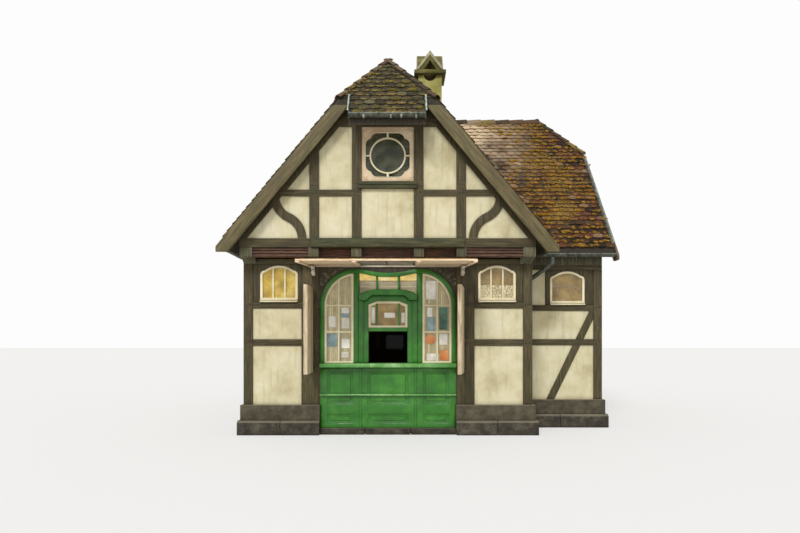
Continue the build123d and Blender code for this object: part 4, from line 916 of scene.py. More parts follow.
def rounded(outline: Sequence[Flat], wall: Wall, proud: float, radius: float) -> Piece:
    """A round bead that follows a closed outline on a wall."""
    return tube([wall.point(across, height, proud) for across, height in outline], radius, True)


def copies(template: Piece, places: Iterable[Matrix], fade: float = 0.0) -> Piece:
    """Lay copies of a template and keep them as one piece; the template goes.

    Args:
        template: The shape that is modelled once, at the origin.
        places: Where each copy lies.
        fade: Length along y over which the attribute "lower_edge" falls from 1 to 0, if any.

    Returns:
        The piece.
    """
    spots = np.array([vertex.co[:] for vertex in template.data.vertices])
    faces = [tuple(face.vertices) for face in template.data.polygons]
    points = []
    all_faces = []
    for number, place in enumerate(places):
        matrix = np.array(place)
        points.append(spots @ matrix[:3, :3].T + matrix[:3, 3])
        start = number * len(spots)
        all_faces += [tuple(start + corner for corner in face) for face in faces]
    mesh = bpy.data.meshes.new("copies")
    mesh.from_pydata(np.concatenate(points).tolist(), [], all_faces)
    mesh.update()
    if fade:
        edge = np.clip(1 - spots[:, 1] / fade, 0, 1)
        attribute = mesh.attributes.new("lower_edge", "FLOAT", "POINT")
        attribute.data.foreach_set("value", np.tile(edge, len(points)))
    piece = bpy.data.objects.new("copies", mesh)
    bpy.context.collection.objects.link(piece)
    bpy.data.objects.remove(template)
    return piece


def arc(centre: Flat, radius: float, start: float, end: float, steps: int = 8) -> list[Flat]:
    """Points of an arc.

    Args:
        centre: Its middle.
        radius: Its radius.
        start: Angle of its first point, in degrees.
        end: Angle of its last point, in degrees.
        steps: Number of chords.

    Returns:
        The points in order.
    """
    angles = [math.radians(start + (end - start) * step / steps) for step in range(steps + 1)]
    return [(centre[0] + radius * math.cos(angle), centre[1] + radius * math.sin(angle)) for angle in angles]


def axes(x: Vector, y: Vector, z: Vector) -> Matrix:
    """The turn that lays a piece's own axes along three directions."""
    return Matrix((x, y, z)).transposed().to_4x4()


@dataclass(frozen=True)
class Wall:
    """An outer wall face, drawn on as seen from outside."""

    origin: Solid
    right: Solid
    out: Solid

    @property
    def outward(self) -> Vector:
        """Direction away from the building."""
        return Vector(self.out)

    def point(self, across: float, height: float, proud: float = 0.0) -> Vector:
        """A point on the wall, in the frame's axes.

        Args:
            across: Distance to the right of the wall's middle.
            height: Height above the ground.
            proud: Distance in front of the wall.

        Returns:
            The point.
        """
        return Vector(self.origin) + Vector(self.right) * across + self.outward * proud + UP * height

    def matrix(self, across: float, height: float, proud: float = 0.0) -> Matrix:
        """Place for a piece drawn with x to the right, y outwards and z up."""
        place = axes(Vector(self.right), self.outward, UP)
        place.translation = self.point(across, height, proud)
        return place

    def moved(self, proud: float, aside: Solid = (0, 0, 0)) -> Wall:
        """The same face, moved outwards and aside."""
        return Wall(tuple(Vector(self.origin) + self.outward * proud + Vector(aside)), self.right, self.out)


TO_FRONT = Wall((0, 0, 0), (1, 0, 0), (0, -1, 0))
TO_BACK = Wall((0, 0, 0), (-1, 0, 0), (0, 1, 0))
TO_LEFT = Wall((0, 0, 0), (0, -1, 0), (-1, 0, 0))
TO_RIGHT = Wall((0, 0, 0), (0, 1, 0), (1, 0, 0))
FRONT, FRONT_GABLE, WING_FRONT = (TO_FRONT.moved(reach) for reach in (HALF_DEPTH, GABLE_FACE, HALF_WIDTH))
BACK, BACK_GABLE, WING_BACK = (TO_BACK.moved(reach) for reach in (HALF_DEPTH, GABLE_FACE, HALF_WIDTH))
LEFT, WING_SIDE = TO_LEFT.moved(HALF_WIDTH), TO_RIGHT.moved(WING_END)


@dataclass
class Kiosk:
    """What every sub-assembly works with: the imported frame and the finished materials."""

    frame: dict
    materials: dict[str, bpy.types.Material] = field(default_factory=dict)

    def mix_finishes(self) -> None:
        """Make every material once."""
        for finish in FINISHES:
            self.materials[finish.name] = finish.build()

    def keep(self, pieces: Sequence[Piece], name: str, finish: str, slot: str, *stands_for: str) -> None:
        """Make one named piece of some, give it its finish and its place in the frame, and report it.

        Args:
            pieces: The pieces, with their place in their mesh.
            name: Name of the whole.
            finish: Name of its material.
            slot: Material slot of the record; not used.
            *stands_for: CAD nodes that it replaces.
        """
        piece = join(pieces, name)
        piece.data.materials.clear()
        piece.data.materials.append(self.materials[finish])
        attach(piece, BODY)
        if stands_for:
            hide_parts(*stands_for)
        log.info("%s: %d faces in %s", name, len(piece.data.polygons), finish)

    def slot_of(self, node: str) -> str:
        """The record's material slot of a CAD node."""
        parts = self.frame["record"]["subparts"]
        return next(part["material_slot"] for part in parts if part["node"] == node)

    def eased_copy(self, node: str, width: float) -> Piece:
        """A clean copy of a CAD node with its edges worn round.

        Args:
            node: The CAD node.
            width: Width of the rounding.

        Returns:
            The copy.
        """
        piece = bpy.data.objects.new(node, self.frame["nodes"][node].data.copy())
        bpy.context.collection.objects.link(piece)
        with editing(piece):
            bpy.ops.mesh.remove_doubles(threshold=0.00005)
            bpy.ops.mesh.dissolve_limited(angle_limit=math.radians(0.5))
        return ease(piece, width, 2)


OAK = "oiled_oak_frame"
GREEN = "green_linseed_paint"
CREAM = "cream_linseed_paint"


@dataclass
class Joinery:
    """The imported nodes: worked copies of what has edges, and a finish on the rest."""

    kiosk: Kiosk
    worked: tuple = (
        (OAK, 0.007, "front_frames back_frame left_frame return_frames"),
        (OAK, 0.007, "wing_side_frames wing_end_frame gable_frames"),
        (OAK, 0.006, "wall_plates"),
        ("greyed_oak_beam_ends", 0.008, "eaves_beams joists"),
        ("greyed_oak_beam_ends", 0.006, "corner_corbels"),
        ("mossy_oak_drip_boards", 0.008, "gable_trims"),
        ("weathered_oak_barge", 0.008, "barge_boards"),
        ("oiled_oak_shopfront", 0.004, "shop_spandrel"),
        (CREAM, 0.004, "window_frames"),
        ("pink_cream_paint", 0.005, "gable_windows"),
        (GREEN, 0.009, "shop_arch"),
        (GREEN, 0.008, "shop_posts"),
        (GREEN, 0.014, "shop_cornice"),
        (GREEN, 0.008, "shop_pilasters"),
        (GREEN, 0.005, "hatch_surround"),
        (GREEN, 0.006, "counter"),
        ("pale_green_paint", 0.012, "counter_shelf"),
        ("pale_green_paint", 0.003, "handrail"),
        (CREAM, 0.004, "shop_light_frames"),
        ("bare_spruce_canopy", 0.004, "canopy"),
        ("limewashed_brackets", 0.006, "canopy_brackets"),
        ("bare_spruce_shutters", 0.004, "shutters"),
        ("cement_base_render", 0.012, "base_walls"),
        ("chimney_render", 0.012, "chimney_shaft"),
        ("mossy_chimney_cap", 0.010, "chimney_cap"),
    )
    dressed: tuple = (
        ("lime_plaster", "wall_infill gable_infill"),
        (OAK, "eaves_filling"),
        ("spruce_floor_boards", "attic_floor"),
        ("poured_concrete", "floor_slab"),
        ("door_paint", "back_door"),
        ("stained_oak_carving", "jetty_boards"),
        ("small_window_glass", "window_glass"),
        ("shop_window_glass", "shop_glass"),
        ("dark_oak_soffit", "roof_left roof_right_front roof_right_back"),
        ("dark_oak_soffit", "roof_wing_front roof_wing_back half_hips"),
        ("patinated_gutter_zinc", "gutters downpipe"),
    )

    def build(self) -> None:
        """Dress the plain nodes and work the copies of the others."""
        for finish, nodes in self.dressed:
            for node in nodes.split():
                mesh = self.kiosk.frame["nodes"][node].data
                mesh.materials.clear()
                mesh.materials.append(self.kiosk.materials[finish])
        for finish, width, nodes in self.worked:
            for node in nodes.split():
                piece = self.kiosk.eased_copy(node, width)
                self.kiosk.keep([piece], f"{node}_worked", finish, self.kiosk.slot_of(node), node)


@dataclass(frozen=True)
class Slope:
    """One tiled slope: where its rows start, how they fall, and the planes that bound each field of it."""

    name: str
    top: Vector | Solid
    along: Vector | Solid
    fall: Vector | Solid
    length: float
    reach: float
    fields: tuple[tuple[Cut, ...], ...]
    finish: str
    moss: str
    moss_share: float
    gauge: float = 0.118
    dries: bool = False

    @property
    def out(self) -> Vector:
        """Direction away from the roof."""
        return Vector(self.along).cross(-Vector(self.fall)).normalized()


def within(cuts: Sequence[Cut], spot: Vector, margin: float) -> bool:
    """True if a spot lies no further than the margin beyond any of the planes."""
    return all((spot - Vector(point)).dot(Vector(normal).normalized()) < margin for point, normal in cuts)


def cushion() -> Piece:
    """One lumpy moss cushion of unit size."""
    take()
    bpy.ops.mesh.primitive_ico_sphere_add(subdivisions=2, radius=1.0)
    piece = bpy.context.object
    with editing(piece):
        bpy.ops.transform.vertex_random(offset=0.22, uniform=0.1, normal=0.7, seed=SEED)
    return trim(piece, (0, 0, -0.25), (0, 0, -1))


@dataclass
class TiledRoof:
    """Plain clay tiles with rounded ends, laid in half bond and cut to the hips, valleys and verges."""

    kiosk: Kiosk
    tile_width: float = 0.163
    joint: float = 0.004
    tile_length: float = 0.150
    tile_rounding: float = 0.026
    thickness: float = 0.013
    lift: float = 0.017
    camber: float = 0.004
    eaves_overhang: float = 0.020
    half_hip_run: float = 0.760
    hip_gauge: float = 0.129
    drip_half_width: float = 0.573
    verge: float = 3.558
    wing_verge: float = 3.868
    ridge_gap: float = 0.012
    dry_above: float = 4.3
    dry_before: float = 3.0
    dry_loss: float = 1.3

    def __post_init__(self) -> None:
        """Read the roof's corners from the frame."""
        low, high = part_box("roof_left")
        self.ridge, self.eaves = high[2], -low[0]
        low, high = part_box("half_hips")
        self.drip, self.wing_drip = -low[1], high[0]

    def main_slopes(self) -> list[Slope]:
        """The left slope, and the right slope before and behind the wing."""
        apex = self.verge - self.half_hip_run
        found = []
        for side, end, name in ((-1, 0, "left"), (1, -1, "right_front"), (1, 1, "right_back")):
            cuts = [
                ((0, -apex, 0), (-side, -1, 0)),
                ((0, apex, 0), (-side, 1, 0)),
                ((0, -self.verge, 0), (0, -1, 0)),
                ((0, self.verge, 0), (0, 1, 0)),
                ((side * self.ridge_gap, 0, 0), (-side, 0, 0)),
            ]
            if end:
                cuts += [((0, 0, 0), (1, -end, 0)), ((0, 0, 0), (0, -end, 0))]
            fall = (side * math.cos(PITCH), 0, -math.sin(PITCH))
            found.append(Slope(f"tiles_{name}", UP * self.ridge, (0, side, 0), fall, self.eaves * SLANT,
                               self.verge, (tuple(cuts),), "clay_tiles_main", "olive_moss", 0.16))
        return found

    def wing_slopes(self) -> list[Slope]:
        """The wing's front and back slope."""
        found = []
        for end, name in ((-1, "tiles_wing_front"), (1, "tiles_wing_back")):
            cuts = (
                ((0, 0, 0), (-1, end, 0)),
                ((self.wing_verge - self.half_hip_run, 0, 0), (1, -end, 0)),
                ((self.wing_verge, 0, 0), (1, 0, 0)),
                ((0, end * self.ridge_gap, 0), (0, -end, 0)),
            )
            fall = (0, end * math.cos(PITCH), -math.sin(PITCH))
            found.append(Slope(name, UP * self.ridge, (-end, 0, 0), fall, self.eaves * SLANT,
                               self.wing_verge, (cuts,), "clay_tiles_wing", "golden_moss", 0.78, dries=True))
        return found

    def half_hips(self) -> list[Slope]:
        """The three half-hips, each a field between its hips and a narrower one that runs on to its drip."""
        found = []
        for name, out, verge, drip in (
            ("front", Vector((0, -1, 0)), self.verge, self.drip),
            ("back", Vector((0, 1, 0)), self.verge, self.drip),
            ("wing", Vector((1, 0, 0)), self.wing_verge, self.wing_drip),
        ):
            apex = verge - self.half_hip_run
            across = UP.cross(out)
            upper, lower = [(out * verge, out)], [(out * verge, -out)]
            for side in (-1, 1):
                upper.append((out * apex, across * side - out))
                lower.append((across * side * self.drip_half_width, across * side))
            fall = out * math.cos(PITCH) - UP * math.sin(PITCH)
            found.append(Slope(f"tiles_half_hip_{name}", out * apex + UP * self.ridge, across, fall,
                               (drip - apex) * SLANT, self.half_hip_run, (tuple(upper), tuple(lower)),
                               "clay_tiles_hip", "olive_moss", 0.22, self.hip_gauge))
        return found

    def tile(self) -> Piece:
        """One tile: x across, y up the slope from its rounded lower end, z out of the roof."""
        take()
        bpy.ops.mesh.primitive_grid_add(x_subdivisions=4, y_subdivisions=1, size=1)
        piece = bpy.context.object
        for vertex in piece.data.vertices:
            share = vertex.co.x * 2
            along = self.tile_length if vertex.co.y > 0 else self.tile_rounding * share**2
            vertex.co = (share * (self.tile_width - self.joint) / 2, along, self.camber * (1 - share**2))
        return thicken(piece, (0, 0, self.thickness))

    def places(self, slope: Slope, rng: random.Random) -> list[Matrix]:
        """Where the tiles of a slope lie, each a little out of line.

        Args:
            slope: The slope.
            rng: Seeded source of the irregularities.

        Returns:
            One place for each tile.
        """
        along, fall, out = Vector(slope.along), Vector(slope.fall), slope.out
        tilt = math.atan2(self.lift, self.tile_length)
        columns = math.ceil(2 * slope.reach / self.tile_width) + 2
        found = []
        for row in range(math.ceil(slope.length / slope.gauge)):
            down = slope.length + self.eaves_overhang - row * slope.gauge
            sag = rng.uniform(-0.003, 0.003)
            for column in range(columns):
                across = -slope.reach + (column - (row % 2) / 2) * self.tile_width
                spot = Vector(slope.top) + along * across + fall * (down + sag + rng.uniform(-0.004, 0.004))
                spot += out * (self.lift + 0.003 + rng.uniform(-0.003, 0.004))
                lean = Matrix.Rotation(-tilt + rng.uniform(-0.02, 0.02), 4, "X")
                turn = Matrix.Rotation(rng.uniform(-0.014, 0.014), 4, "Z")
                found.append(Matrix.Translation(spot) @ axes(along, -fall, out) @ lean @ turn)
        return found

    def dryness(self, slope: Slope, spot: Vector) -> float:
        """How dry a spot of a slope is: in soft patches, and more so where the whole slope dries out."""
        patch = noise.noise(spot * 1.7) + 0.5
        if slope.dries:
            rise, reach = spot.z - self.dry_above, self.dry_before - spot.x
            patch += min(1.0, max(0.0, rise)) * min(1.0, max(0.0, reach)) * self.dry_loss
        return patch

    def cushions(self, slope: Slope, places: Sequence[Matrix], rng: random.Random) -> list[Matrix]:
        """Where moss cushions grow: in patches, and most of all on the tiles' lower edges.

        Args:
            slope: The slope.
            places: Where its tiles lie.
            rng: Seeded source of the irregularities.

        Returns:
            One place for each cushion.
        """
        found = []
        for place in places:
            inside = any(within(cuts, place.translation, -0.06) for cuts in slope.fields)
            dry = self.dryness(slope, place.translation)
            if not inside or dry + rng.uniform(-0.35, 0.35) > slope.moss_share * 1.25:
                continue
            for _ in range(rng.randint(1, 4)):
                size = rng.uniform(0.011, 0.030) * (1.0 + 0.8 * rng.random() ** 3)
                share = rng.uniform(-0.9, 0.9)
                up = self.tile_rounding * share**2 + rng.uniform(0.002, 0.055)
                spot = Matrix.Translation((share * self.tile_width / 2, up, self.thickness))
                scale = (size * rng.uniform(1.0, 1.5), size, size * rng.uniform(0.4, 0.6), 1.0)
                found.append(place @ spot @ Matrix.Diagonal(scale))
        return found

    def build(self) -> None:
        """Lay and cut every slope, and let the moss grow."""
        rng = random.Random(SEED)
        for slope in self.main_slopes() + self.wing_slopes() + self.half_hips():
            places = self.places(slope, rng)
            laid = []
            for cuts in slope.fields:
                near = [place for place in places if within(cuts, place.translation, self.tile_width)]
                tiles = copies(self.tile(), near, self.tile_length)
                for point, normal in cuts:
                    trim(tiles, point, normal)
                laid.append(smooth(tiles, 30))
            self.kiosk.keep(laid, slope.name, slope.finish, "roof_tile")
            grown = copies(cushion(), self.cushions(slope, places, rng))
            self.kiosk.keep([smooth(grown)], f"{slope.name}_moss", slope.moss, "roof_tile")


@dataclass
class RoofCaps:
    """Round-backed ridge tiles on the two ridges, and narrower ones on the six hips."""

    kiosk: Kiosk
    roof: TiledRoof
    thickness: float = 0.014
    bed: float = 0.032
    crown: float = 0.058
    crown_steps: int = 6
    ridge_reach: float = 0.112
    ridge_exposure: float = 0.300
    hip_reach: float = 0.070
    hip_exposure: float = 0.236
    lap: float = 0.055

    def cap(self, angle: float, reach: float, exposure: float) -> Piece:
        """One cap tile from its thick lower end at the origin up along +Y.

        Args:
            angle: How steeply its flanks fall from its crown.
            reach: How far its flanks reach to each side.
            exposure: Length that the next one leaves bare.

        Returns:
            The tile.
        """
        centre = (self.bed + self.thickness - self.crown) / math.cos(angle)
        rims = []
        for offset in (0.0, self.thickness):
            radius = self.crown - self.thickness + offset
            foot = (self.bed + offset) / math.cos(angle) - reach * math.tan(angle)
            turns = [angle * (2 * step / self.crown_steps - 1) for step in range(self.crown_steps + 1)]
            round_top = [(radius * math.sin(turn), centre + radius * math.cos(turn)) for turn in turns]
            rims.append([(-reach, foot), *round_top, (reach, foot)])
        piece = plate(rims[0] + rims[1][::-1], TO_FRONT, 0.0, exposure + self.lap, 0.0)
        tilt = math.atan2(self.thickness * 1.3, exposure)
        with editing(piece):
            bpy.ops.transform.rotate(value=tilt, orient_axis="X", center_override=(0, exposure, 0))
        return piece

    def line(self, foot: Vector, head: Vector, up: Vector, exposure: float, rng: random.Random) -> list[Matrix]:
        """Places of the caps along one line, the exposed end of each towards the foot.

        Args:
            foot: Where the line starts.
            head: Where it ends.
            up: Direction away from the roof.
            exposure: Length that each cap leaves bare.
            rng: Seeded source of the irregularities.

        Returns:
            One place for each cap.
        """
        run = (head - foot).normalized()
        count = round((head - foot).length / exposure)
        return [
            Matrix.Translation(foot + (head - foot) / count * number + up * rng.uniform(0.0, 0.004))
            @ axes(run.cross(up), run, up) @ Matrix.Rotation(rng.uniform(-0.012, 0.012), 4, "Z")
            for number in range(count)
        ]

    def ridges(self, rng: random.Random) -> list[Matrix]:
        """Places along the house's ridge and the wing's."""
        end, wing_end = (verge - self.roof.half_hip_run for verge in (self.roof.verge, self.roof.wing_verge))
        height, places = self.roof.ridge, []
        for foot, head in (((0, -end), (0, end)), ((wing_end, 0), (self.ridge_reach, 0))):
            places += self.line(Vector((*foot, height)), Vector((*head, height)), UP, self.ridge_exposure, rng)
        return places

    def hips(self, rng: random.Random) -> list[Matrix]:
        """Places along the six hips, each from its half-hip's lower corner up to the ridge."""
        roof, run = self.roof, self.roof.half_hip_run
        places = []
        for wall, verge in ((TO_FRONT, roof.verge), (TO_BACK, roof.verge), (TO_RIGHT, roof.wing_verge)):
            head = wall.outward * (verge - run) + UP * roof.ridge
            for side in (-1, 1):
                corner = wall.outward + UP.cross(wall.outward) * side
                foot = head + corner * run - UP * run * math.tan(PITCH)
                normal = corner * math.sin(PITCH) + UP * 2 * math.cos(PITCH)
                places += self.line(foot, head, normal.normalized(), self.hip_exposure, rng)
        return places

    def build(self) -> None:
        """Lay the ridges and the hips, which stand for their CAD nodes."""
        rng = random.Random(SEED + 1)
        hip_angle = math.acos(math.sqrt((1 + math.cos(PITCH) ** 2) / 2))
        for kind, finish, places, shape in (
            ("ridge", "clay_ridge_tiles", self.ridges(rng), (PITCH, self.ridge_reach, self.ridge_exposure)),
            ("hip", "clay_hip_caps", self.hips(rng), (hip_angle, self.hip_reach, self.hip_exposure)),
        ):
            piece = smooth(copies(self.cap(*shape), places), 40)
            node = f"{kind}_tiles"
            self.kiosk.keep([piece], f"{kind}_caps", finish, self.kiosk.slot_of(node), node)


@dataclass
class RoofMetal:
    """Zinc strips on the half-hips' cheeks and the wing's verges, and the gutters' straps and rims."""

    kiosk: Kiosk
    roof: TiledRoof
    strip_sides: Flat = (0.566, 0.602)
    strip_lift: float = 0.046
    strip_thickness: float = 0.010
    apron_outer: float = 0.584
    apron_height: float = 0.135
    verge_width: float = 0.040
    verge_depth: float = 0.060
    gutter_radius: float = 0.056
    strap_width: float = 0.026
    strap_thickness: float = 0.004
    strap_spacing: float = 0.72
    strap_tops: Flat = (0.002, -0.024)
    hip_straps: tuple[float, ...] = (-0.36, 0.045, 0.20, 0.42)
    bead_radius: float = 0.004
    house_hip_rim: float = 4.873
    wing_hip_rim: float = 5.098

    def top_at(self, reach: float) -> float:
        """Height of the strips' tops at a level distance from the ridge's end."""
        return self.roof.ridge - reach * math.tan(PITCH) + self.strip_lift * SLANT

    def sloping(self, place: Wall, reaches: Flat, sides: Flat, depth: float) -> Piece:
        """A board that follows a slope, its top at the height of the strips.

        Args:
            place: Its plane, which looks across the slope and has the way that it falls as its right.
            reaches: Distances from the ridge's end at which it starts and ends.
            sides: Where it starts and ends across the slope.
            depth: Its upright thickness.

        Returns:
            The board.
        """
        tops = [(reach, self.top_at(reach)) for reach in reaches]
        outline = [(reach, top - depth) for reach, top in tops] + tops[::-1]
        return plate(outline, place.moved(sides[1]), 0.0, sides[1] - sides[0])

    def cheeks(self) -> None:
        """A bright strip along each cheek of the house's two half-hips, with the zinc that hangs below it."""
        roof = self.roof
        apex = roof.verge - roof.half_hip_run
        reaches = (roof.half_hip_run, roof.drip - apex)
        strips, aprons = [], []
        for end in (-1, 1):
            for side in (-1, 1):
                place = Wall((0, end * apex, 0), (0, end, 0), (side, 0, 0))
                strips.append(self.sloping(place, reaches, self.strip_sides, self.strip_thickness))
                sides = (self.strip_sides[0], self.apron_outer)
                aprons.append(self.sloping(place, reaches, sides, self.apron_height))
        self.kiosk.keep(strips, "cheek_strips", "bright_zinc", "gutter_metal")
        self.kiosk.keep(aprons, "cheek_aprons", "patinated_gutter_zinc", "gutter_metal")

    def strap(self, top: float) -> Piece:
        """One strap under a gutter: part of a ring round the y axis, cut off at a height near the rim."""
        piece = trim(circle(24, self.gutter_radius + 0.002, (90, 0, 0)), (0, 0, top), (0, 0, 1), fill=False)
        with editing(piece):
            bpy.ops.mesh.extrude_edges_move(TRANSFORM_OT_translate={"value": (0, self.strap_width, 0)})
        return modified(piece, "SOLIDIFY", thickness=self.strap_thickness, offset=0.0)

    def straps(self) -> None:
        """Straps under the long gutters, and brighter ones under the house's half-hips."""
        roof = self.roof
        outer, start = roof.eaves + self.gutter_radius, roof.eaves + 0.2
        places = []
        for low, high in (
            ((-outer, -roof.verge), (-outer, roof.verge)),
            ((start, -outer), (roof.wing_verge, -outer)),
            ((start, outer), (roof.wing_verge, outer)),
        ):
            low, high = Vector((*low, GUTTER_RIM)), Vector((*high, GUTTER_RIM))
            run = (high - low).normalized()
            count = round((high - low).length / self.strap_spacing)
            for number in range(count):
                spot = low.lerp(high, (number + 0.5) / count)
                places.append(Matrix.Translation(spot) @ axes(run.cross(UP), run, UP))
        long_straps = copies(self.strap(self.strap_tops[0]), places)
        self.kiosk.keep([long_straps], "gutter_straps", "patinated_gutter_zinc", "gutter_metal")
        places = []
        for end in (-1, 1):
            run = Vector((-end, 0, 0))
            for across in self.hip_straps:
                spot = (across, end * (roof.drip + self.gutter_radius), self.house_hip_rim)
                places.append(Matrix.Translation(spot) @ axes(run.cross(UP), run, UP))
        hip_straps = copies(self.strap(self.strap_tops[1]), places)
        self.kiosk.keep([hip_straps], "half_hip_straps", "bright_zinc", "gutter_metal")

    def verges(self) -> None:
        """A dark zinc strip with a bright outer bead down each rake of the wing's end."""
        reaches = (self.roof.half_hip_run + 0.010, self.roof.eaves - 0.020)
        outer = self.roof.wing_verge - self.bead_radius
        strips, beads = [], []
        for side in (-1, 1):
            place = Wall((0, 0, 0), (0, side, 0), (1, 0, 0))
            strips.append(self.sloping(place, reaches, (outer - self.verge_width, outer), self.verge_depth))
            points = [(outer, side * reach, self.top_at(reach)) for reach in reaches]
            beads.append(tube(points, self.bead_radius))
        self.kiosk.keep(strips, "wing_verges", "patinated_gutter_zinc", "gutter_metal")
        self.kiosk.keep(beads, "wing_verge_beads", "bright_zinc", "gutter_metal")

    def rims(self) -> None:
        """The rolled bead along the outer lip of every gutter."""
        roof = self.roof
        lip = roof.eaves + 2 * self.gutter_radius - self.bead_radius
        verge, wing, half = roof.verge, roof.wing_verge, roof.drip_half_width
        runs = [((-lip, -verge), (-lip, verge), GUTTER_RIM)]
        for end in (-1, 1):
            runs.append(((lip, end * verge), (lip, end * (lip + 0.02)), GUTTER_RIM))
        for end in (-1, 1):
            runs.append(((lip - 0.1, end * lip), (wing, end * lip), GUTTER_RIM))
        reach = roof.drip + 2 * self.gutter_radius - self.bead_radius
        for end in (-1, 1):
            runs.append(((-half, end * reach), (half, end * reach), self.house_hip_rim))
        reach = roof.wing_drip + 2 * self.gutter_radius - self.bead_radius
        runs.append(((reach, -half), (reach, half), self.wing_hip_rim))
        beads = [tube([(*start, height), (*end, height)], self.bead_radius) for start, end, height in runs]
        self.kiosk.keep(beads, "gutter_rims", "bright_zinc", "gutter_metal")

    def build(self) -> None:
        """Fit the cheeks, the straps, the verges and the rims."""
        self.cheeks()
        self.straps()
        self.verges()
        self.rims()


@dataclass
class ChimneyTrim:
    """Cast verges along the four small gables of the chimney's cap."""

    kiosk: Kiosk
    face: float = 0.228
    base: float = 6.455
    knee: float = 0.065
    height: float = 0.371
    half_width: float = 0.226
    board: float = 0.050
    foot_height: float = 0.040
    foot_width: float = 0.022
    proud: float = 0.012
    sunk: float = 0.006

    def build(self) -> None:
        """Cast the verges."""
        low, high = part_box("chimney_cap")
        middle = ((low[0] + high[0]) / 2, (low[1] + high[1]) / 2, 0)
        peak, foot = self.base + self.height, self.base + self.knee
        slope = (self.height - self.knee) / self.half_width
        drop = self.board * math.sqrt(1 + slope**2)
        half, inner = self.half_width, self.half_width - self.foot_width
        shape = [(0, peak), (half, foot), (half, foot - self.foot_height), (inner, foot - self.foot_height),
                 (0, peak - drop)]
        verges = []
        for wall in (TO_FRONT, TO_RIGHT, TO_BACK, TO_LEFT):
            face = wall.moved(self.face, middle)
            for side in (-1, 1):
                outline = [(side * across, height) for across, height in shape]
                verges.append(plate(outline, face, self.proud, self.proud + self.sunk, 0.003))
        self.kiosk.keep(verges, "chimney_verges", "cast_cement_verge", "chimney_render")


LEAF_WIDTH = 0.62
LEAF_TAPER = 0.45
LEAF_RISE = 0.16
LEAF_DEPTH = 0.05


def leaves(places: Iterable[tuple[Wall, float, float, float, float]], proud: float) -> Piece:
    """Carved leaves that lie on walls, as one piece.

    Args:
        places: The wall, the stalk's place across and up, the leaf's direction in degrees and its length.
        proud: How far the wood stands in front of the wall.

    Returns:
        The leaves.
    """
    leaf = circle(16, 0.5, (90, 0, 0), "TRIFAN")
    for vertex in leaf.data.vertices:
        share = vertex.co.x * 2
        rim = abs(vertex.co.z) > 0.001 or abs(share) > 0.9
        vertex.co.z *= LEAF_WIDTH * (1 - LEAF_TAPER * share)
        vertex.co.x += 0.5
        vertex.co.y = 0.0 if rim else LEAF_RISE
    found = []
    for wall, across, height, turn, length in places:
        lean = Matrix.Rotation(math.radians(-turn), 4, "Y")
        found.append(wall.matrix(across, height, proud) @ lean @ Matrix.Scale(length, 4))
    return outwards(copies(thicken(leaf, (0, -LEAF_DEPTH, 0)), found))


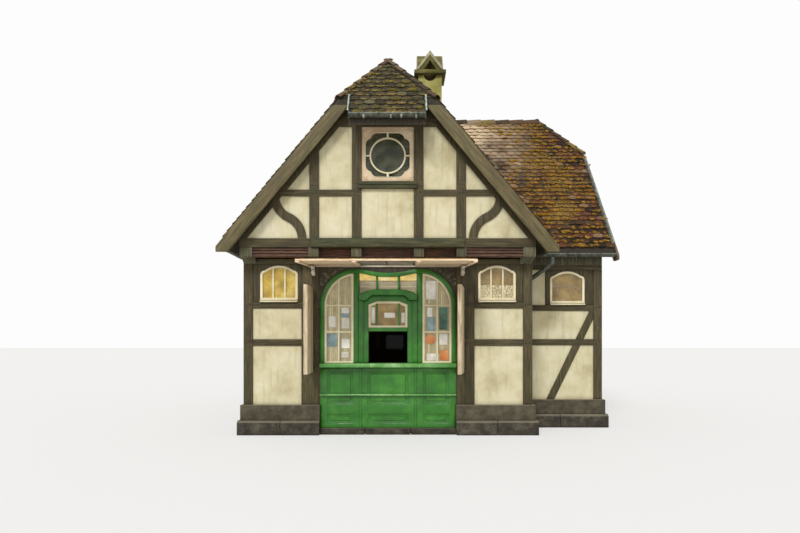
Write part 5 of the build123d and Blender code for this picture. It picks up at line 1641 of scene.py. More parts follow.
@dataclass
class GableWindow:
    """The lobed window of both gables: ring and spokes, a lip round the lobes and leaves in the corners."""

    kiosk: Kiosk
    centre: float = 4.4225
    half_width: float = 0.344
    lobe_start: float = 0.165
    lobe_notch: float = 0.262
    recess: float = 0.020
    lip_radius: float = 0.006
    ring_height: float = 4.410
    ring_radius: float = 0.285
    ring_width: float = 0.025
    ring_depth: float = 0.020
    upright_width: float = 0.032
    level_width: float = 0.021
    spoke_depth: float = 0.018
    tuck: float = 0.010
    strip_half: float = 0.455
    strip_heights: Flat = (3.940, 3.992)
    strip_proud: float = 0.056
    strip_depth: float = 0.022
    pane_half: float = 0.36
    pane_proud: float = -0.068
    leaf_offset: Flat = (0.372, 0.384)
    leaf_turns: tuple[Flat, ...] = ((0, 0.080), (38, 0.072), (-38, 0.072))

    def lobes(self, grow: float) -> list[Flat]:
        """The opening's outline, moved outwards a little."""
        across, rise = self.lobe_notch - self.lobe_start, self.half_width - self.lobe_notch
        radius = (across**2 + rise**2) / (2 * rise)
        sweep = math.degrees(math.asin(min(1.0, across / radius)))
        quarter = arc((self.half_width - radius, self.lobe_start), radius + grow, 0, sweep, 5)
        quarter += arc((self.lobe_start, self.half_width - radius), radius + grow, 90 - sweep, 90, 5)
        points = []
        for cos, sin in ((1, 0), (0, 1), (-1, 0), (0, -1)):
            points += [(x * cos - z * sin, x * sin + z * cos + self.centre) for x, z in quarter]
        return points

    def spokes(self, wall: Wall) -> list[Piece]:
        """The ring's upright spokes and its level ones, in to out."""
        height, half = self.ring_height, self.half_width + self.tuck
        inner = self.ring_radius - self.ring_width + self.tuck
        wide, flat = self.upright_width / 2, self.level_width / 2
        shapes = [
            ((-wide, wide), (height + inner, self.centre + half)),
            ((-wide, wide), (self.centre - half, height - inner)),
            ((-half, -inner), (height - flat, height + flat)),
            ((inner, half), (height - flat, height + flat)),
        ]
        return [bar(wall, sides, heights, self.spoke_proud, self.spoke_depth) for sides, heights in shapes]

    @property
    def spoke_proud(self) -> float:
        """How far the spokes' faces stand in front of the gable: a little behind the ring's."""
        return self.ring_proud - 0.002

    @property
    def ring_proud(self) -> float:
        """How far the ring's face stands in front of the gable: behind the lip."""
        return -self.recess - 0.004

    def corners(self, wall: Wall) -> list[tuple]:
        """Places of the leaves, three in each corner."""
        across, up = self.leaf_offset
        found = []
        for side, lift in ((-1, -1), (-1, 1), (1, -1), (1, 1)):
            inward = math.degrees(math.atan2(lift, side)) + 180
            for turn, length in self.leaf_turns:
                found.append((wall, side * across, self.centre + lift * up, inward + turn, length))
        return found

    def build(self) -> None:
        """Make the tracery, lip, corner leaves and strip of both windows, and a dark sheet behind each pane
        that paints the shade inside.
        """
        tracery, lips, strips, shade_sheets, leaf_places = [], [], [], [], []
        radii = (self.ring_radius - self.ring_width, self.ring_radius)
        strip_half, half = self.strip_half, self.pane_half
        pane = (self.centre - half, self.centre + half)
        for wall in (FRONT_GABLE, BACK_GABLE):
            tracery.append(ring(wall, (0, self.ring_height), radii, self.ring_proud, self.ring_depth))
            tracery += self.spokes(wall)
            leaf_places += self.corners(wall)
            lips.append(rounded(self.lobes(0.008), wall, -self.recess, self.lip_radius))
            sides = (-strip_half, strip_half)
            strips.append(bar(wall, sides, self.strip_heights, self.strip_proud, self.strip_depth, 0.006))
            # A dark sheet behind the pane: painted shade.
            shade_sheets.append(bar(wall, (-half, half), pane, self.pane_proud, 0.006))
        keep = self.kiosk.keep
        keep(tracery, "gable_tracery", CREAM, "cream_paint")
        keep(lips, "gable_window_lips", CREAM, "cream_paint")
        keep(strips, "gable_drip_strips", "mossy_oak_drip_boards", "weathered_board")
        keep(shade_sheets, "gable_painted_inner_shade", "painted_inner_shade", "dark_glass")
        keep([leaves(leaf_places, -self.recess)], "gable_corner_leaves", "pink_cream_paint", "cream_paint")


class Behind(Enum):
    """What shows behind a small window's glass."""

    # The cloth glows as painted lamplight.
    PAINTED_LAMPLIGHT = "warm light on cloth"
    # A pale film that glows over the lower half: painted light.
    HALF_FILM = "obscured lower half"
    INNER_SASH = "a sash hung askew"
    BLIND = "drawn blind"


@dataclass
class SmallWindows:
    """The ten windows of the ground storey: glazing bars, a sill board and what shows behind the glass."""

    kiosk: Kiosk
    half_width: float = 0.264
    spring: float = 2.565
    shoulder: float = 0.034
    top: float = 2.677
    foot: float = 2.160
    bar_offset: float = 0.095
    bar_width: float = 0.025
    bar_heights: Flat = (2.190, 2.666)
    bar_proud: float = -0.016
    bar_depth: float = 0.018
    sill_half: float = 0.300
    sills: tuple = (((2.127, 2.148), 0.040, 0.038, 0.006), ((2.160, 2.180), 0.012, 0.020, 0.005))
    back_proud: float = -0.052
    film_top: float = 2.400
    film_proud: float = -0.044
    sash_bars: Flat = (-0.170, 0.020)
    sash_bar_width: float = 0.018
    sash_lean: float = 0.065
    sash_top: float = 2.455
    sash_rail: tuple[Flat, ...] = (
        (-0.264, 2.440), (0.10, 2.452), (0.264, 2.380), (0.264, 2.398), (0.10, 2.472), (-0.264, 2.460),
    )
    sash_depth: float = 0.006
    windows: tuple = (
        (FRONT, -1.752, Behind.PAINTED_LAMPLIGHT), (FRONT, 1.752, Behind.HALF_FILM),
        (WING_FRONT, 3.116, Behind.INNER_SASH), (BACK, -1.752, Behind.BLIND),
        (BACK, 1.752, Behind.BLIND), (WING_BACK, -3.116, Behind.BLIND),
        (LEFT, -1.5375, Behind.BLIND), (LEFT, 1.5375, Behind.PAINTED_LAMPLIGHT),
        (WING_SIDE, -0.55875, Behind.BLIND), (WING_SIDE, 0.55875, Behind.HALF_FILM),
    )

    def outline(self, centre: float) -> list[Flat]:
        """The light inside the frame, with its shouldered top."""
        half, notch = self.half_width, self.half_width - self.shoulder
        rise = self.top - self.spring - self.shoulder
        radius = (notch**2 + rise**2) / (2 * rise)
        sweep = math.degrees(math.asin(notch / radius))
        points = [(-half, self.foot), (half, self.foot)]
        points += arc((notch, self.spring), self.shoulder, 0, 90, 4)
        points += arc((0, self.top - radius), radius, 90 - sweep, 90 + sweep, 8)
        points += arc((-notch, self.spring), self.shoulder, 90, 180, 4)
        return [(centre + x, z) for x, z in points]

    def behind(self, wall: Wall, centre: float, kind: Behind, found: dict[str, list]) -> None:
        """What shows behind one window's glass.

        Args:
            wall: Its wall.
            centre: Its middle along the wall.
            kind: What shows.
            found: Pieces by finish, to which this one's are added.
        """
        # The sheets behind the glass glow, as painted light.
        cloths = {Behind.PAINTED_LAMPLIGHT: "painted_lamplight_cloth", Behind.BLIND: "slatted_blind"}
        finish = cloths.get(kind, "painted_interior_glow")
        found.setdefault(finish, []).append(plate(self.outline(centre), wall, self.back_proud, 0.004, 0.0))
        if kind is Behind.HALF_FILM:
            sides = (centre - self.half_width, centre + self.half_width)
            film = bar(wall, sides, (self.foot, self.film_top), self.film_proud, 0.003, 0.0)
            found.setdefault("pale_glowing_film", []).append(film)
        if kind is Behind.INNER_SASH:
            found.setdefault("pink_cream_paint", []).extend(self.askew_sash(wall, centre))

    def askew_sash(self, wall: Wall, centre: float) -> list[Piece]:
        """The inner sash that stands a little open and shows its bars at a slant."""
        lean, width, foot, top = self.sash_lean, self.sash_bar_width, self.foot, self.sash_top
        shapes = [
            [(left + lean, foot), (left + width + lean, foot), (left + width, top), (left, top)]
            for left in self.sash_bars
        ]
        return [
            plate([(centre + x, z) for x, z in shape], wall, self.film_proud, self.sash_depth, 0.0)
            for shape in (*shapes, self.sash_rail)
        ]

    def build(self) -> None:
        """Make the bars, sills and backings of every window."""
        bars, sills, found = [], [], {}
        for wall, centre, kind in self.windows:
            if kind is not Behind.INNER_SASH:
                for side in (-1, 1):
                    sides = about(centre + side * self.bar_offset, self.bar_width)
                    bars.append(bar(wall, sides, self.bar_heights, self.bar_proud, self.bar_depth, 0.003))
            for heights, proud, depth, edge in self.sills:
                sills.append(bar(wall, about(centre, 2 * self.sill_half), heights, proud, depth, edge))
            self.behind(wall, centre, kind, found)
        self.kiosk.keep(bars, "window_bars", CREAM, "cream_paint")
        self.kiosk.keep(sills, "window_sills", CREAM, "cream_paint")
        for finish, pieces in found.items():
            self.kiosk.keep(pieces, f"windows_{finish}", finish, "dark_glass")


@dataclass
class Shopfront:
    """The arched shopfront's glazing bars, blinds, blank cards, inner mullions and carved corners."""

    kiosk: Kiosk
    bar_proud: float = -0.012
    bar_depth: float = 0.020
    light_inner: float = 0.586
    light_outer: float = 0.990
    light_bottom: float = 1.180
    upright: float = 0.792
    upright_width: float = 0.030
    rails: tuple[Flat, ...] = ((2.060, 2.086), (1.634, 1.662))
    spring: float = 2.075
    shoulder_centre: float = 0.505
    shoulder_radius: float = 0.500
    board_inner: float = 0.566
    board_bottom: float = 1.150
    board_proud: float = -0.094
    board_depth: float = 0.010
    card_proud: float = -0.080
    cards: tuple = (
        (-0.960, -0.847, 1.723, 1.902, "blank_card"), (-0.753, -0.631, 1.950, 2.043, "blank_card"),
        (-0.753, -0.631, 1.885, 1.948, "grey_blue_card"), (-0.753, -0.631, 1.704, 1.878, "blank_card"),
        (-0.985, -0.828, 1.412, 1.619, "grey_blue_card"), (-0.753, -0.621, 1.383, 1.534, "blank_card"),
        (-0.753, -0.640, 1.233, 1.327, "blank_card"), (0.610, 0.773, 2.175, 2.476, "blank_card"),
        (0.632, 0.716, 1.892, 2.043, "blank_card"), (0.632, 0.754, 1.666, 1.883, "grey_blue_card"),
        (0.829, 0.961, 1.685, 2.043, "dark_green_card"), (0.829, 0.961, 1.440, 1.619, "blank_card"),
        (0.622, 0.829, 1.185, 1.299, "blank_card"), (0.839, 0.980, 1.190, 1.355, "orange_card"),
    )
    disc_centre: Flat = (0.688, 1.530)
    disc_radius: float = 0.078
    fan_lights: tuple[Flat, ...] = ((-0.462, -0.197), (-0.160, 0.156), (0.197, 0.462))
    blind_bottom: float = 2.200
    blind_proud: float = -0.096
    lit_bottom: float = 2.495
    lit_top: float = 2.600
    scallops: int = 7
    mullion_offset: float = 0.181
    mullion_width: float = 0.030
    mullion_heights: Flat = (1.748, 2.106)
    inner_back: tuple[Flat, Flat] = ((-0.30, 0.30), (1.722, 2.130))
    inner_cards: tuple[tuple[Flat, Flat], ...] = (
        ((-0.270, -0.215), (1.790, 2.050)), ((-0.060, 0.110), (1.880, 1.960)),
        ((0.215, 0.270), (1.800, 1.960)),
    )
    inner_proud: float = -0.086
    carved: tuple = (
        (30, 0.625, 62, 0.085), (36, 0.630, 128, 0.075), (43, 0.625, 75, 0.105), (50, 0.632, 140, 0.085),
        (57, 0.625, 95, 0.090), (64, 0.640, 160, 0.075), (46, 0.690, 20, 0.070), (38, 0.680, 5, 0.060),
    )

    def height_at(self, across: float) -> float:
        """Height of the arch's inner edge over a point of a side light."""
        reach = abs(across) - self.shoulder_centre
        return self.spring + math.sqrt(max(0.0, self.shoulder_radius**2 - reach**2))

    def glazing_bars(self) -> None:
        """Uprights and rails of the two side lights."""
        pieces = []
        for side in (-1, 1):
            left, right = about(side * self.upright, self.upright_width)
            outline = [(left, self.light_bottom), (right, self.light_bottom),
                       (right, self.height_at(right)), (left, self.height_at(left))]
            pieces.append(plate(outline, FRONT, self.bar_proud, self.bar_depth, 0.004))
            sides = tuple(sorted((side * self.light_inner, side * self.light_outer)))
            for heights in self.rails:
                pieces.append(bar(FRONT, sides, heights, self.bar_proud - 0.002, self.bar_depth - 0.002, 0.004))
        self.kiosk.keep(pieces, "shop_glazing_bars", CREAM, "cream_paint")

    def displays(self) -> None:
        """Boards behind the side lights, with the blank cards that hang on them."""
        curve = arc((self.shoulder_centre, self.spring), self.shoulder_radius, 0, 78, 10)
        bottom, inner = self.board_bottom, self.board_inner
        shape = [(inner, bottom), (curve[0][0], bottom), *curve, (inner, curve[-1][1])]
        boards = [
            plate([(side * x, z) for x, z in shape], FRONT, self.board_proud, self.board_depth, 0.0)
            for side in (-1, 1)
        ]
        cards = {}
        for left, right, bottom, top, finish in self.cards:
            card = bar(FRONT, (left, right), (bottom, top), self.card_proud, 0.004, 0.001)
            cards.setdefault(finish, []).append(card)
        disc = arc(self.disc_centre, self.disc_radius, 0, 350, 35)
        cards["orange_card"].append(plate(disc, FRONT, self.card_proud + 0.002, 0.005, 0.001))
        # The boards and the cards glow faintly: painted light.
        self.kiosk.keep(boards, "display_boards", "display_board", "raw_boards")
        for finish, pieces in cards.items():
            self.kiosk.keep(pieces, f"cards_{finish}", finish, "cream_paint")

    def blinds(self) -> None:
        """Blinds of the fanlight, each with a valance that glows as painted light and has a scalloped lower
        edge.
        """
        cloths, glowing_valances = [], []
        heights = (self.blind_bottom, self.lit_top)
        for number, (left, right) in enumerate(self.fan_lights):
            cloths.append(bar(FRONT, (left, right), heights, self.blind_proud, 0.004, 0.0))
            width = (right - left) / self.scallops
            points = [(right, self.lit_top), (left, self.lit_top)]
            for scallop in range(self.scallops):
                points += arc((left + width * (scallop + 0.5), self.lit_bottom), width * 0.46, 180, 360, 5)
            glowing_valances.append(plate(points, FRONT, self.blind_proud + 0.008 - 0.001 * number, 0.003, 0.0))
        self.kiosk.keep(cloths, "fanlight_blinds", "slatted_blind", "cream_paint")
        self.kiosk.keep(glowing_valances, "fanlight_valances", "painted_glow_valance", "cream_paint")

    def inner_window(self) -> None:
        """The green mullions of the small window over the hatch, a glowing sheet of painted light behind it,
        and its blank cards.
        """
        mullions = []
        for side in (-1, 1):
            sides = about(side * self.mullion_offset, self.mullion_width)
            mullions.append(bar(FRONT, sides, self.mullion_heights, -0.008, 0.024, 0.004))
        self.kiosk.keep(mullions, "inner_mullions", GREEN, "green_paint")
        # A glowing sheet paints the dim room behind the small window.
        back = bar(FRONT, *self.inner_back, self.blind_proud, 0.005, 0.0)
        self.kiosk.keep([back], "inner_window_painted_glow", "painted_interior_glow", "clear_glass")
        cards = [bar(FRONT, *card, self.inner_proud, 0.004, 0.001) for card in self.inner_cards]
        self.kiosk.keep(cards, "inner_window_cards", "blank_card", "clear_glass")

    def carving(self) -> None:
        """Leaves carved round the arch's shoulders, in the timber itself."""
        places = []
        for side in (-1, 1):
            for angle, offset, turn, length in self.carved:
                across = self.shoulder_centre + offset * math.cos(math.radians(angle))
                height = self.spring + offset * math.sin(math.radians(angle))
                places.append((FRONT, side * across, height, turn if side > 0 else 180 - turn, length))
        # A lighter, greyer finish than the spandrel round them, which paints in the carving's highlights.
        self.kiosk.keep([leaves(places, 0.004)], "spandrel_leaves", "greyed_oak_beam_ends", "timber")

    def build(self) -> None:
        """Make all of the shopfront's fittings."""
        self.glazing_bars()
        self.displays()
        self.blinds()
        self.inner_window()
        self.carving()


@dataclass
class Counter:
    """Raised fields and beads on the counter's panels, and the cover strips between them."""

    kiosk: Kiosk
    edges: tuple[float, ...] = (-1.090, -0.443, 0.443, 1.090)
    margin: float = 0.115
    sink: float = -0.014
    bands: tuple[Flat, ...] = ((0.178, 0.338), (0.490, 1.016))
    bead: float = 0.007
    field_margin: float = 0.045
    field_depth: float = 0.013
    strip_width: float = 0.030
    strip_heights: Flat = (0.108, 1.078)

    def build(self) -> None:
        """Make the fields, beads and strips."""
        fields, beads = [], []
        inset = self.field_margin
        for left, right in zip(self.edges[:-1], self.edges[1:]):
            low, high = left + self.margin, right - self.margin
            for bottom, top in self.bands:
                edge = corners((low, high), (bottom, top))
                beads.append(rounded(edge, FRONT, self.sink + 0.006, self.bead))
                sides, heights = (low + inset, high - inset), (bottom + inset, top - inset)
                fields.append(bar(FRONT, sides, heights, self.sink + 0.011, self.field_depth, 0.009))
        strips = [
            bar(FRONT, about(middle, self.strip_width), self.strip_heights, 0.009, 0.010, 0.004)
            for middle in self.edges[1:-1]
        ]
        kinds = (fields, "counter_fields"), (beads, "counter_beads"), (strips, "counter_strips")
        for pieces, name in kinds:
            self.kiosk.keep(pieces, name, GREEN, "green_paint")


@dataclass
class JettyRopes:
    """Three turned rope mouldings between the outer beam ends of each jetty."""

    kiosk: Kiosk
    gap: Flat = (1.235, 2.125)
    heights: tuple[float, ...] = (2.845, 2.895, 2.945)
    axis_depth: float = -0.047
    radius: float = 0.0222
    lobe: float = 0.0026
    turns: int = 6
    steps_a_turn: int = 12

    def rope(self, length: float) -> Piece:
        """One rope along +X from the origin."""
        piece = circle(18, self.radius, (0, 90, 0))
        for vertex in piece.data.vertices:
            angle = math.atan2(vertex.co.z, vertex.co.y)
            grow = 1 + self.lobe / self.radius * abs(math.cos(1.5 * angle))
            vertex.co.y *= grow
            vertex.co.z *= grow
        steps = self.turns * self.steps_a_turn
        turn = 2 * math.pi * self.turns
        modified(piece, "SCREW", axis="X", angle=turn, screw_offset=length, steps=steps, render_steps=steps)
        with editing(piece):
            bpy.ops.mesh.remove_doubles(threshold=0.00001)
            bpy.ops.mesh.fill_holes(sides=0)
        return outwards(piece)

    def build(self) -> None:
        """Lay the ropes of both jetties."""
        start, end = self.gap
        places = [
            wall.matrix(left, height, self.axis_depth)
            for wall in (FRONT_GABLE, BACK_GABLE) for left in (start, -end) for height in self.heights
        ]
        ropes = smooth(outwards(copies(self.rope(end - start), places)), 25)
        self.kiosk.keep([ropes], "jetty_ropes", "stained_oak_carving", "carved_timber")


@dataclass
class Plinth:
    """Long basalt stones with chamfered tops, and the stone under the shopfront and the door."""

    kiosk: Kiosk
    height: float = 0.230
    outer_x: float = 2.410
    outer_y: float = 3.250
    wing_x: float = 3.810
    depth: float = 0.245
    joint: float = 0.006
    stone: float = 0.86
    uneven_length: float = 0.09
    uneven_face: float = 0.006
    chamfer: float = 0.038
    wear: float = 0.007
    shop_half: float = 1.090
    shop_stones: tuple[Flat, ...] = ((-1.092, -0.37), (-0.364, 0.36), (0.366, 1.092))
    shop_face: float = HALF_DEPTH + 0.020
    door_half: float = 0.450

    def runs(self) -> list[tuple[Wall, float, float]]:
        """Each straight run: its outer face and its ends along that face."""
        front, back = TO_FRONT.moved(self.outer_y), TO_BACK.moved(self.outer_y)
        left, right = TO_LEFT.moved(self.outer_x), TO_RIGHT.moved(self.outer_x)
        inner, wing_inner = self.outer_y - self.depth, self.outer_x - self.depth
        return [
            (front, -self.outer_x, -self.shop_half), (front, self.shop_half, self.outer_x),
            (back, -self.outer_x, -self.door_half), (back, self.door_half, self.outer_x),
            (left, -inner, inner), (right, -inner, -self.outer_x), (right, self.outer_x, inner),
            (TO_FRONT.moved(self.outer_x), wing_inner, self.wing_x),
            (TO_BACK.moved(self.outer_x), -self.wing_x, -wing_inner),
            (TO_RIGHT.moved(self.wing_x), -wing_inner, wing_inner),
        ]

    def stones(self, rng: random.Random) -> list[Piece]:
        """Every stone, each a little different in length and face, its upper outer edge chamfered."""
        found = []
        for wall, start, end in self.runs():
            count = max(1, round((end - start) / self.stone))
            edges = [start + (end - start) * number / count for number in range(count + 1)]
            for number in range(1, count):
                edges[number] += rng.uniform(-self.uneven_length, self.uneven_length)
            for left, right in zip(edges[:-1], edges[1:]):
                sides = (left + self.joint / 2, right - self.joint / 2)
                set_back = rng.uniform(0.0, self.uneven_face)
                stone = bar(wall, sides, (0.0, self.height), -set_back, self.depth - set_back, 0.0)
                trim(stone, wall.point(0, self.height, -self.chamfer), wall.outward + UP)
                found.append(ease(stone, self.wear, 2))
        return found

    def build(self) -> None:
        """Lay the stones."""
        found = self.stones(random.Random(SEED + 2))
        for sides in self.shop_stones:
            stone = bar(TO_FRONT.moved(self.shop_face), sides, (0.0, 0.105), 0.0, 0.180, 0.0)
            found.append(ease(stone, 0.010, 2))
        half = self.door_half + 0.002
        step = bar(TO_BACK.moved(self.outer_y), (-half, half), (0.0, 0.150), 0.0, 0.250, 0.0)
        found.append(ease(step, 0.012, 2))
        self.kiosk.keep(found, "plinth_blocks", "basalt_plinth", "natural_stone", "plinth_stones")


@dataclass
class Ironwork:
    """Wooden pegs at the joints of the frame, and the back door's boards, hinges and pull."""

    kiosk: Kiosk
    peg_radius: float = 0.011
    peg_proud: float = 0.006
    pair: Flat = (0.030, 0.014)
    gable_posts: tuple[float, ...] = (-1.150, -0.485, 0.485, 1.150)
    gable_rails: tuple[float, ...] = (3.045, 3.820, 4.920)
    storey_posts: tuple = (
        (FRONT, (-2.245, -1.240, 1.240, 2.245)), (BACK, (-2.245, -1.240, 1.240, 2.245)),
        (WING_FRONT, (3.645,)), (WING_BACK, (-3.645,)),
    )
    storey_rails: tuple[float, ...] = (1.4775, 2.075, 2.780)
    door_boards: int = 6
    door_half: float = 0.440
    door_heights: Flat = (0.170, 2.190)
    door_face: float = -0.060
    stops: tuple[tuple[Flat, Flat], ...] = (
        ((-0.465, -0.425), (0.152, 2.235)), ((0.425, 0.465), (0.152, 2.235)),
        ((-0.465, 0.465), (2.185, 2.235)),
    )
    stop_face: float = -0.116
    hinge_heights: Flat = (0.55, 1.85)
    hinge: tuple[Flat, ...] = ((-0.42, -0.022), (0.18, -0.014), (0.23, 0), (0.18, 0.014), (-0.42, 0.022))
    pull_across: float = 0.35
    pull: tuple[Flat, ...] = ((1.12, 0.010), (1.13, 0.045), (1.20, 0.055), (1.27, 0.045), (1.28, 0.010))

    def joints(self) -> list[tuple[Wall, float, float]]:
        """Wall, place across and height of each pegged joint of posts and rails."""
        found = []
        for wall in (FRONT_GABLE, BACK_GABLE, WING_SIDE):
            for across in self.gable_posts:
                rails = self.gable_rails if abs(across) < 1 else self.gable_rails[:-1]
                found += [(wall, across, height) for height in (rails[1:] if wall is WING_SIDE else rails)]
        for wall, posts in self.storey_posts:
            found += [(wall, across, height) for across in posts for height in self.storey_rails]
        return found

    def pegs(self) -> None:
        """Two pegs across each joint, set askew."""
        take()
        turn = (math.radians(90), 0, 0)
        bpy.ops.mesh.primitive_cylinder_add(
            vertices=10, radius=self.peg_radius, depth=self.peg_proud * 2, rotation=turn
        )
        peg = ease(settle(bpy.context.object), 0.003)
        aside, up = self.pair
        places = [
            wall.matrix(across + side * aside, height + side * up)
            for wall, across, height in self.joints() for side in (-1, 1)
        ]
        self.kiosk.keep([outwards(copies(peg, places))], "timber_pegs", "dark_oak_soffit", "timber")

    def back_door(self) -> None:
        """Boards, stops, strap hinges and a pull handle on the plain back door."""
        width = 2 * self.door_half / self.door_boards
        boards = []
        for number in range(self.door_boards):
            left = -self.door_half + number * width
            sides = (left + 0.002, left + width - 0.002)
            boards.append(bar(BACK, sides, self.door_heights, self.door_face + 0.010, 0.011, 0.004))
        self.kiosk.keep(boards, "back_door_boards", "door_paint", "door_paint")
        stops = [bar(BACK, sides, heights, self.stop_face, 0.016) for sides, heights in self.stops]
        self.kiosk.keep(stops, "back_door_stops", "door_paint", "door_paint")
        iron = []
        for middle in self.hinge_heights:
            outline = [(across, middle + up) for across, up in self.hinge]
            iron.append(plate(outline, BACK, self.door_face + 0.016, 0.006))
        points = [BACK.point(self.pull_across, height, self.door_face + out) for height, out in self.pull]
        iron.append(tube(points, 0.008))
        self.kiosk.keep(iron, "back_door_iron", "iron_paint", "door_paint")

    def build(self) -> None:
        """Drive the pegs and fit the door."""
        self.pegs()
        self.back_door()


@dataclass
class CanopyTrim:
    """The moulding where the canopy meets the wall, its brackets' knobs, its battens and the litter on it."""

    kiosk: Kiosk
    moulding: tuple = ((-1.270, 1.270), (2.686, 2.712), 0.034, 0.032, 0.006)
    canopy_reach: float = 1.140
    front_under: float = 2.645
    wall_under: float = 2.720
    front_top: float = 2.672
    battens: tuple[Flat, ...] = ((0.12, 0.045), (0.42, 0.040), (0.64, 0.045))
    batten_sides: Flat = (-0.405, 0.405)
    litter_count: int = 420
    knob_place: Solid = (1.195, 2.560, 0.052)
    knob_lean: float = 24.0
    knob_profile: tuple[Flat, ...] = (
        (0.0, 0.0), (0.016, 0.004), (0.030, 0.018), (0.036, 0.036), (0.030, 0.054),
        (0.018, 0.066), (0.024, 0.076), (0.020, 0.086), (0.0, 0.088),
    )

    def knob(self) -> Piece:
        """A turned knob, its tip at the origin and its axis up."""
        piece = circle(len(self.knob_profile))
        for vertex, (radius, height) in zip(piece.data.vertices, self.knob_profile):
            vertex.co = (radius, 0, height)
        with editing(piece):
            bpy.ops.mesh.spin(steps=16, angle=2 * math.pi, center=(0, 0, 0), axis=(0, 0, 1))
            bpy.ops.mesh.select_all(action="SELECT")
            bpy.ops.mesh.remove_doubles(threshold=0.0002)
            bpy.ops.mesh.delete_loose()
        return outwards(piece)

    def knobs(self) -> None:
        """A knob under each bracket, leaning outwards."""
        across, height, proud = self.knob_place
        lean = Matrix.Rotation(math.radians(self.knob_lean), 4, "X")
        places = [Matrix.Translation(FRONT.point(side * across, height, proud)) @ lean for side in (-1, 1)]
        knobs = smooth(copies(self.knob(), places))
        self.kiosk.keep([knobs], "bracket_knobs", "limewashed_brackets", "pale_wood")

    def litter(self) -> None:
        """Needles and moss that have gathered along the canopy's front edge."""
        low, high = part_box("canopy")
        rng = random.Random(SEED + 3)
        places = []
        while len(places) < self.litter_count:
            across = rng.uniform(low[0] + 0.03, high[0] - 0.03)
            if noise.noise(Vector((across * 2.1, 0, 3))) + rng.uniform(-0.3, 0.3) < -0.12:
                continue
            size = rng.uniform(0.006, 0.016)
            spot = (across, low[1] + rng.uniform(0.022, 0.075), self.front_top + rng.uniform(-0.001, 0.003))
            scale = (size * rng.uniform(1.0, 1.9), size, size * rng.uniform(0.5, 0.9), 1.0)
            places.append(Matrix.Translation(spot) @ Matrix.Diagonal(scale))
        self.kiosk.keep([smooth(copies(cushion(), places))], "canopy_litter", "golden_moss", "raw_boards")

    def cross_battens(self) -> None:
        """Whitish cross battens under the middle flap."""
        pieces = []
        for reach, depth in self.battens:
            under = self.front_under + (self.wall_under - self.front_under) * reach / self.canopy_reach
            wall = FRONT.moved(self.canopy_reach - reach)
            pieces.append(bar(wall, self.batten_sides, (under - 0.018, under - 0.001), 0.0, depth, 0.003))
        self.kiosk.keep(pieces, "canopy_battens", "greyed_battens", "raw_boards")

    def build(self) -> None:
        """Make the litter, the battens, the moulding and the knobs."""
        self.litter()
        self.cross_battens()
        moulding = bar(FRONT, *self.moulding)
        self.kiosk.keep([moulding], "canopy_wall_moulding", "limewashed_brackets", "pale_wood")
        self.knobs()


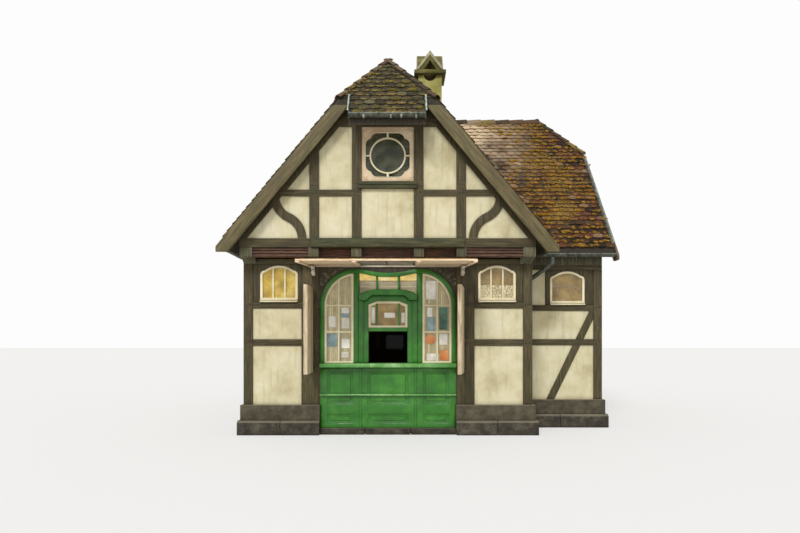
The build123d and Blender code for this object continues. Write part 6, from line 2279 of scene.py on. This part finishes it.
@dataclass
class Studio:
    """Plain pale floor, soft daylight lamps and the camera of the photograph."""

    camera_place: Solid = (0.193, -12.79, 1.55)
    lens: float = 27.0
    sensor: float = 36.0
    shift_up: float = 0.0894
    floor_size: float = 160.0
    daylight: float = 0.72
    sun_strength: float = 1.7
    sun_softness: float = 16.0
    sun_turn: Solid = (48.0, 6.0, -24.0)

    def camera(self) -> None:
        """Set up the camera at eye height, level, as the photograph was taken."""
        take()
        bpy.ops.object.camera_add(location=self.camera_place, rotation=(math.radians(90), 0, 0))
        camera = bpy.context.object
        camera.name = "street_camera"
        camera.data.lens = self.lens
        camera.data.sensor_width = self.sensor
        camera.data.shift_y = self.shift_up
        camera.data.dof.use_dof = False
        bpy.context.scene.camera = camera

    def lamps(self) -> None:
        """One soft sun from the upper left."""
        take()
        bpy.ops.object.light_add(type="SUN", rotation=[math.radians(turn) for turn in self.sun_turn])
        sun = bpy.context.object
        sun.name = "soft_sun"
        sun.data.energy = self.sun_strength
        sun.data.angle = math.radians(self.sun_softness)

    def sky(self) -> None:
        """A pale sky that lights evenly and shows white to the camera, in gloss and through glass."""
        world = bpy.data.worlds.new("pale_sky")
        bpy.context.scene.world = world
        recipe = Recipe(world)
        recipe.tree.nodes.clear()
        rays = recipe.add("LightPath").outputs
        seen = rays["Is Camera Ray"]
        for name in ("Is Glossy Ray", "Is Transmission Ray"):
            seen = recipe.add("Math", {0: seen, 1: rays[name]}, operation="MAXIMUM")
        strength = recipe.add("MapRange", {"Value": seen, "To Min": self.daylight, "To Max": 1.0})
        glow = recipe.add("Background", {"Color": linear("#fdfdfd"), "Strength": strength})
        recipe.add("OutputWorld", {"Surface": glow})

    def floor(self) -> None:
        """A pale floor that keeps the shadow of the object."""
        take()
        bpy.ops.mesh.primitive_plane_add(size=self.floor_size, location=(0, 0, -0.002))
        floor = bpy.context.object
        floor.name = "studio_floor"
        material = bpy.data.materials.new("pale_studio_floor")
        recipe = Recipe(material)
        matt = recipe.tree.nodes["Principled BSDF"]
        recipe.link(matt, {"Base Color": linear("#dedcd8"), "Roughness": 0.95, "Specular IOR Level": 0.0})
        glow = recipe.add("Emission", {"Color": linear("#ffffff"), "Strength": 1.0})
        seen = recipe.add("LightPath").outputs["Is Camera Ray"]
        share = recipe.add("MapRange", {"Value": seen, "To Max": 0.5})
        mix = recipe.add("MixShader", {0: share, 1: matt, 2: glow})
        recipe.link(recipe.tree.nodes["Material Output"], {"Surface": mix})
        floor.data.materials.append(material)
        floor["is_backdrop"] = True

    def build(self) -> None:
        """Set the view transform and build camera, light and floor."""
        bpy.context.scene.view_settings.view_transform = "Standard"
        self.camera()
        self.lamps()
        self.sky()
        self.floor()


def main() -> None:
    """Load the frame and dress it."""
    logging.basicConfig(level=logging.INFO, format="%(name)s: %(message)s")
    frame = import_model()
    cad_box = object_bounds()
    Studio().build()
    kiosk = Kiosk(frame)
    kiosk.mix_finishes()
    Joinery(kiosk).build()
    roof = TiledRoof(kiosk)
    roof.build()
    RoofCaps(kiosk, roof).build()
    RoofMetal(kiosk, roof).build()
    for kind in (ChimneyTrim, GableWindow, SmallWindows, Shopfront, Counter):
        kind(kiosk).build()
    for kind in (JettyRopes, Plinth, Ironwork, CanopyTrim):
        kind(kiosk).build()
    boxes = {"cad": cad_box, "visual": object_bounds()}
    boxes = {name: [list(map(float, corner)) for corner in box] for name, box in boxes.items()}


if __name__ == "__main__":
    main()
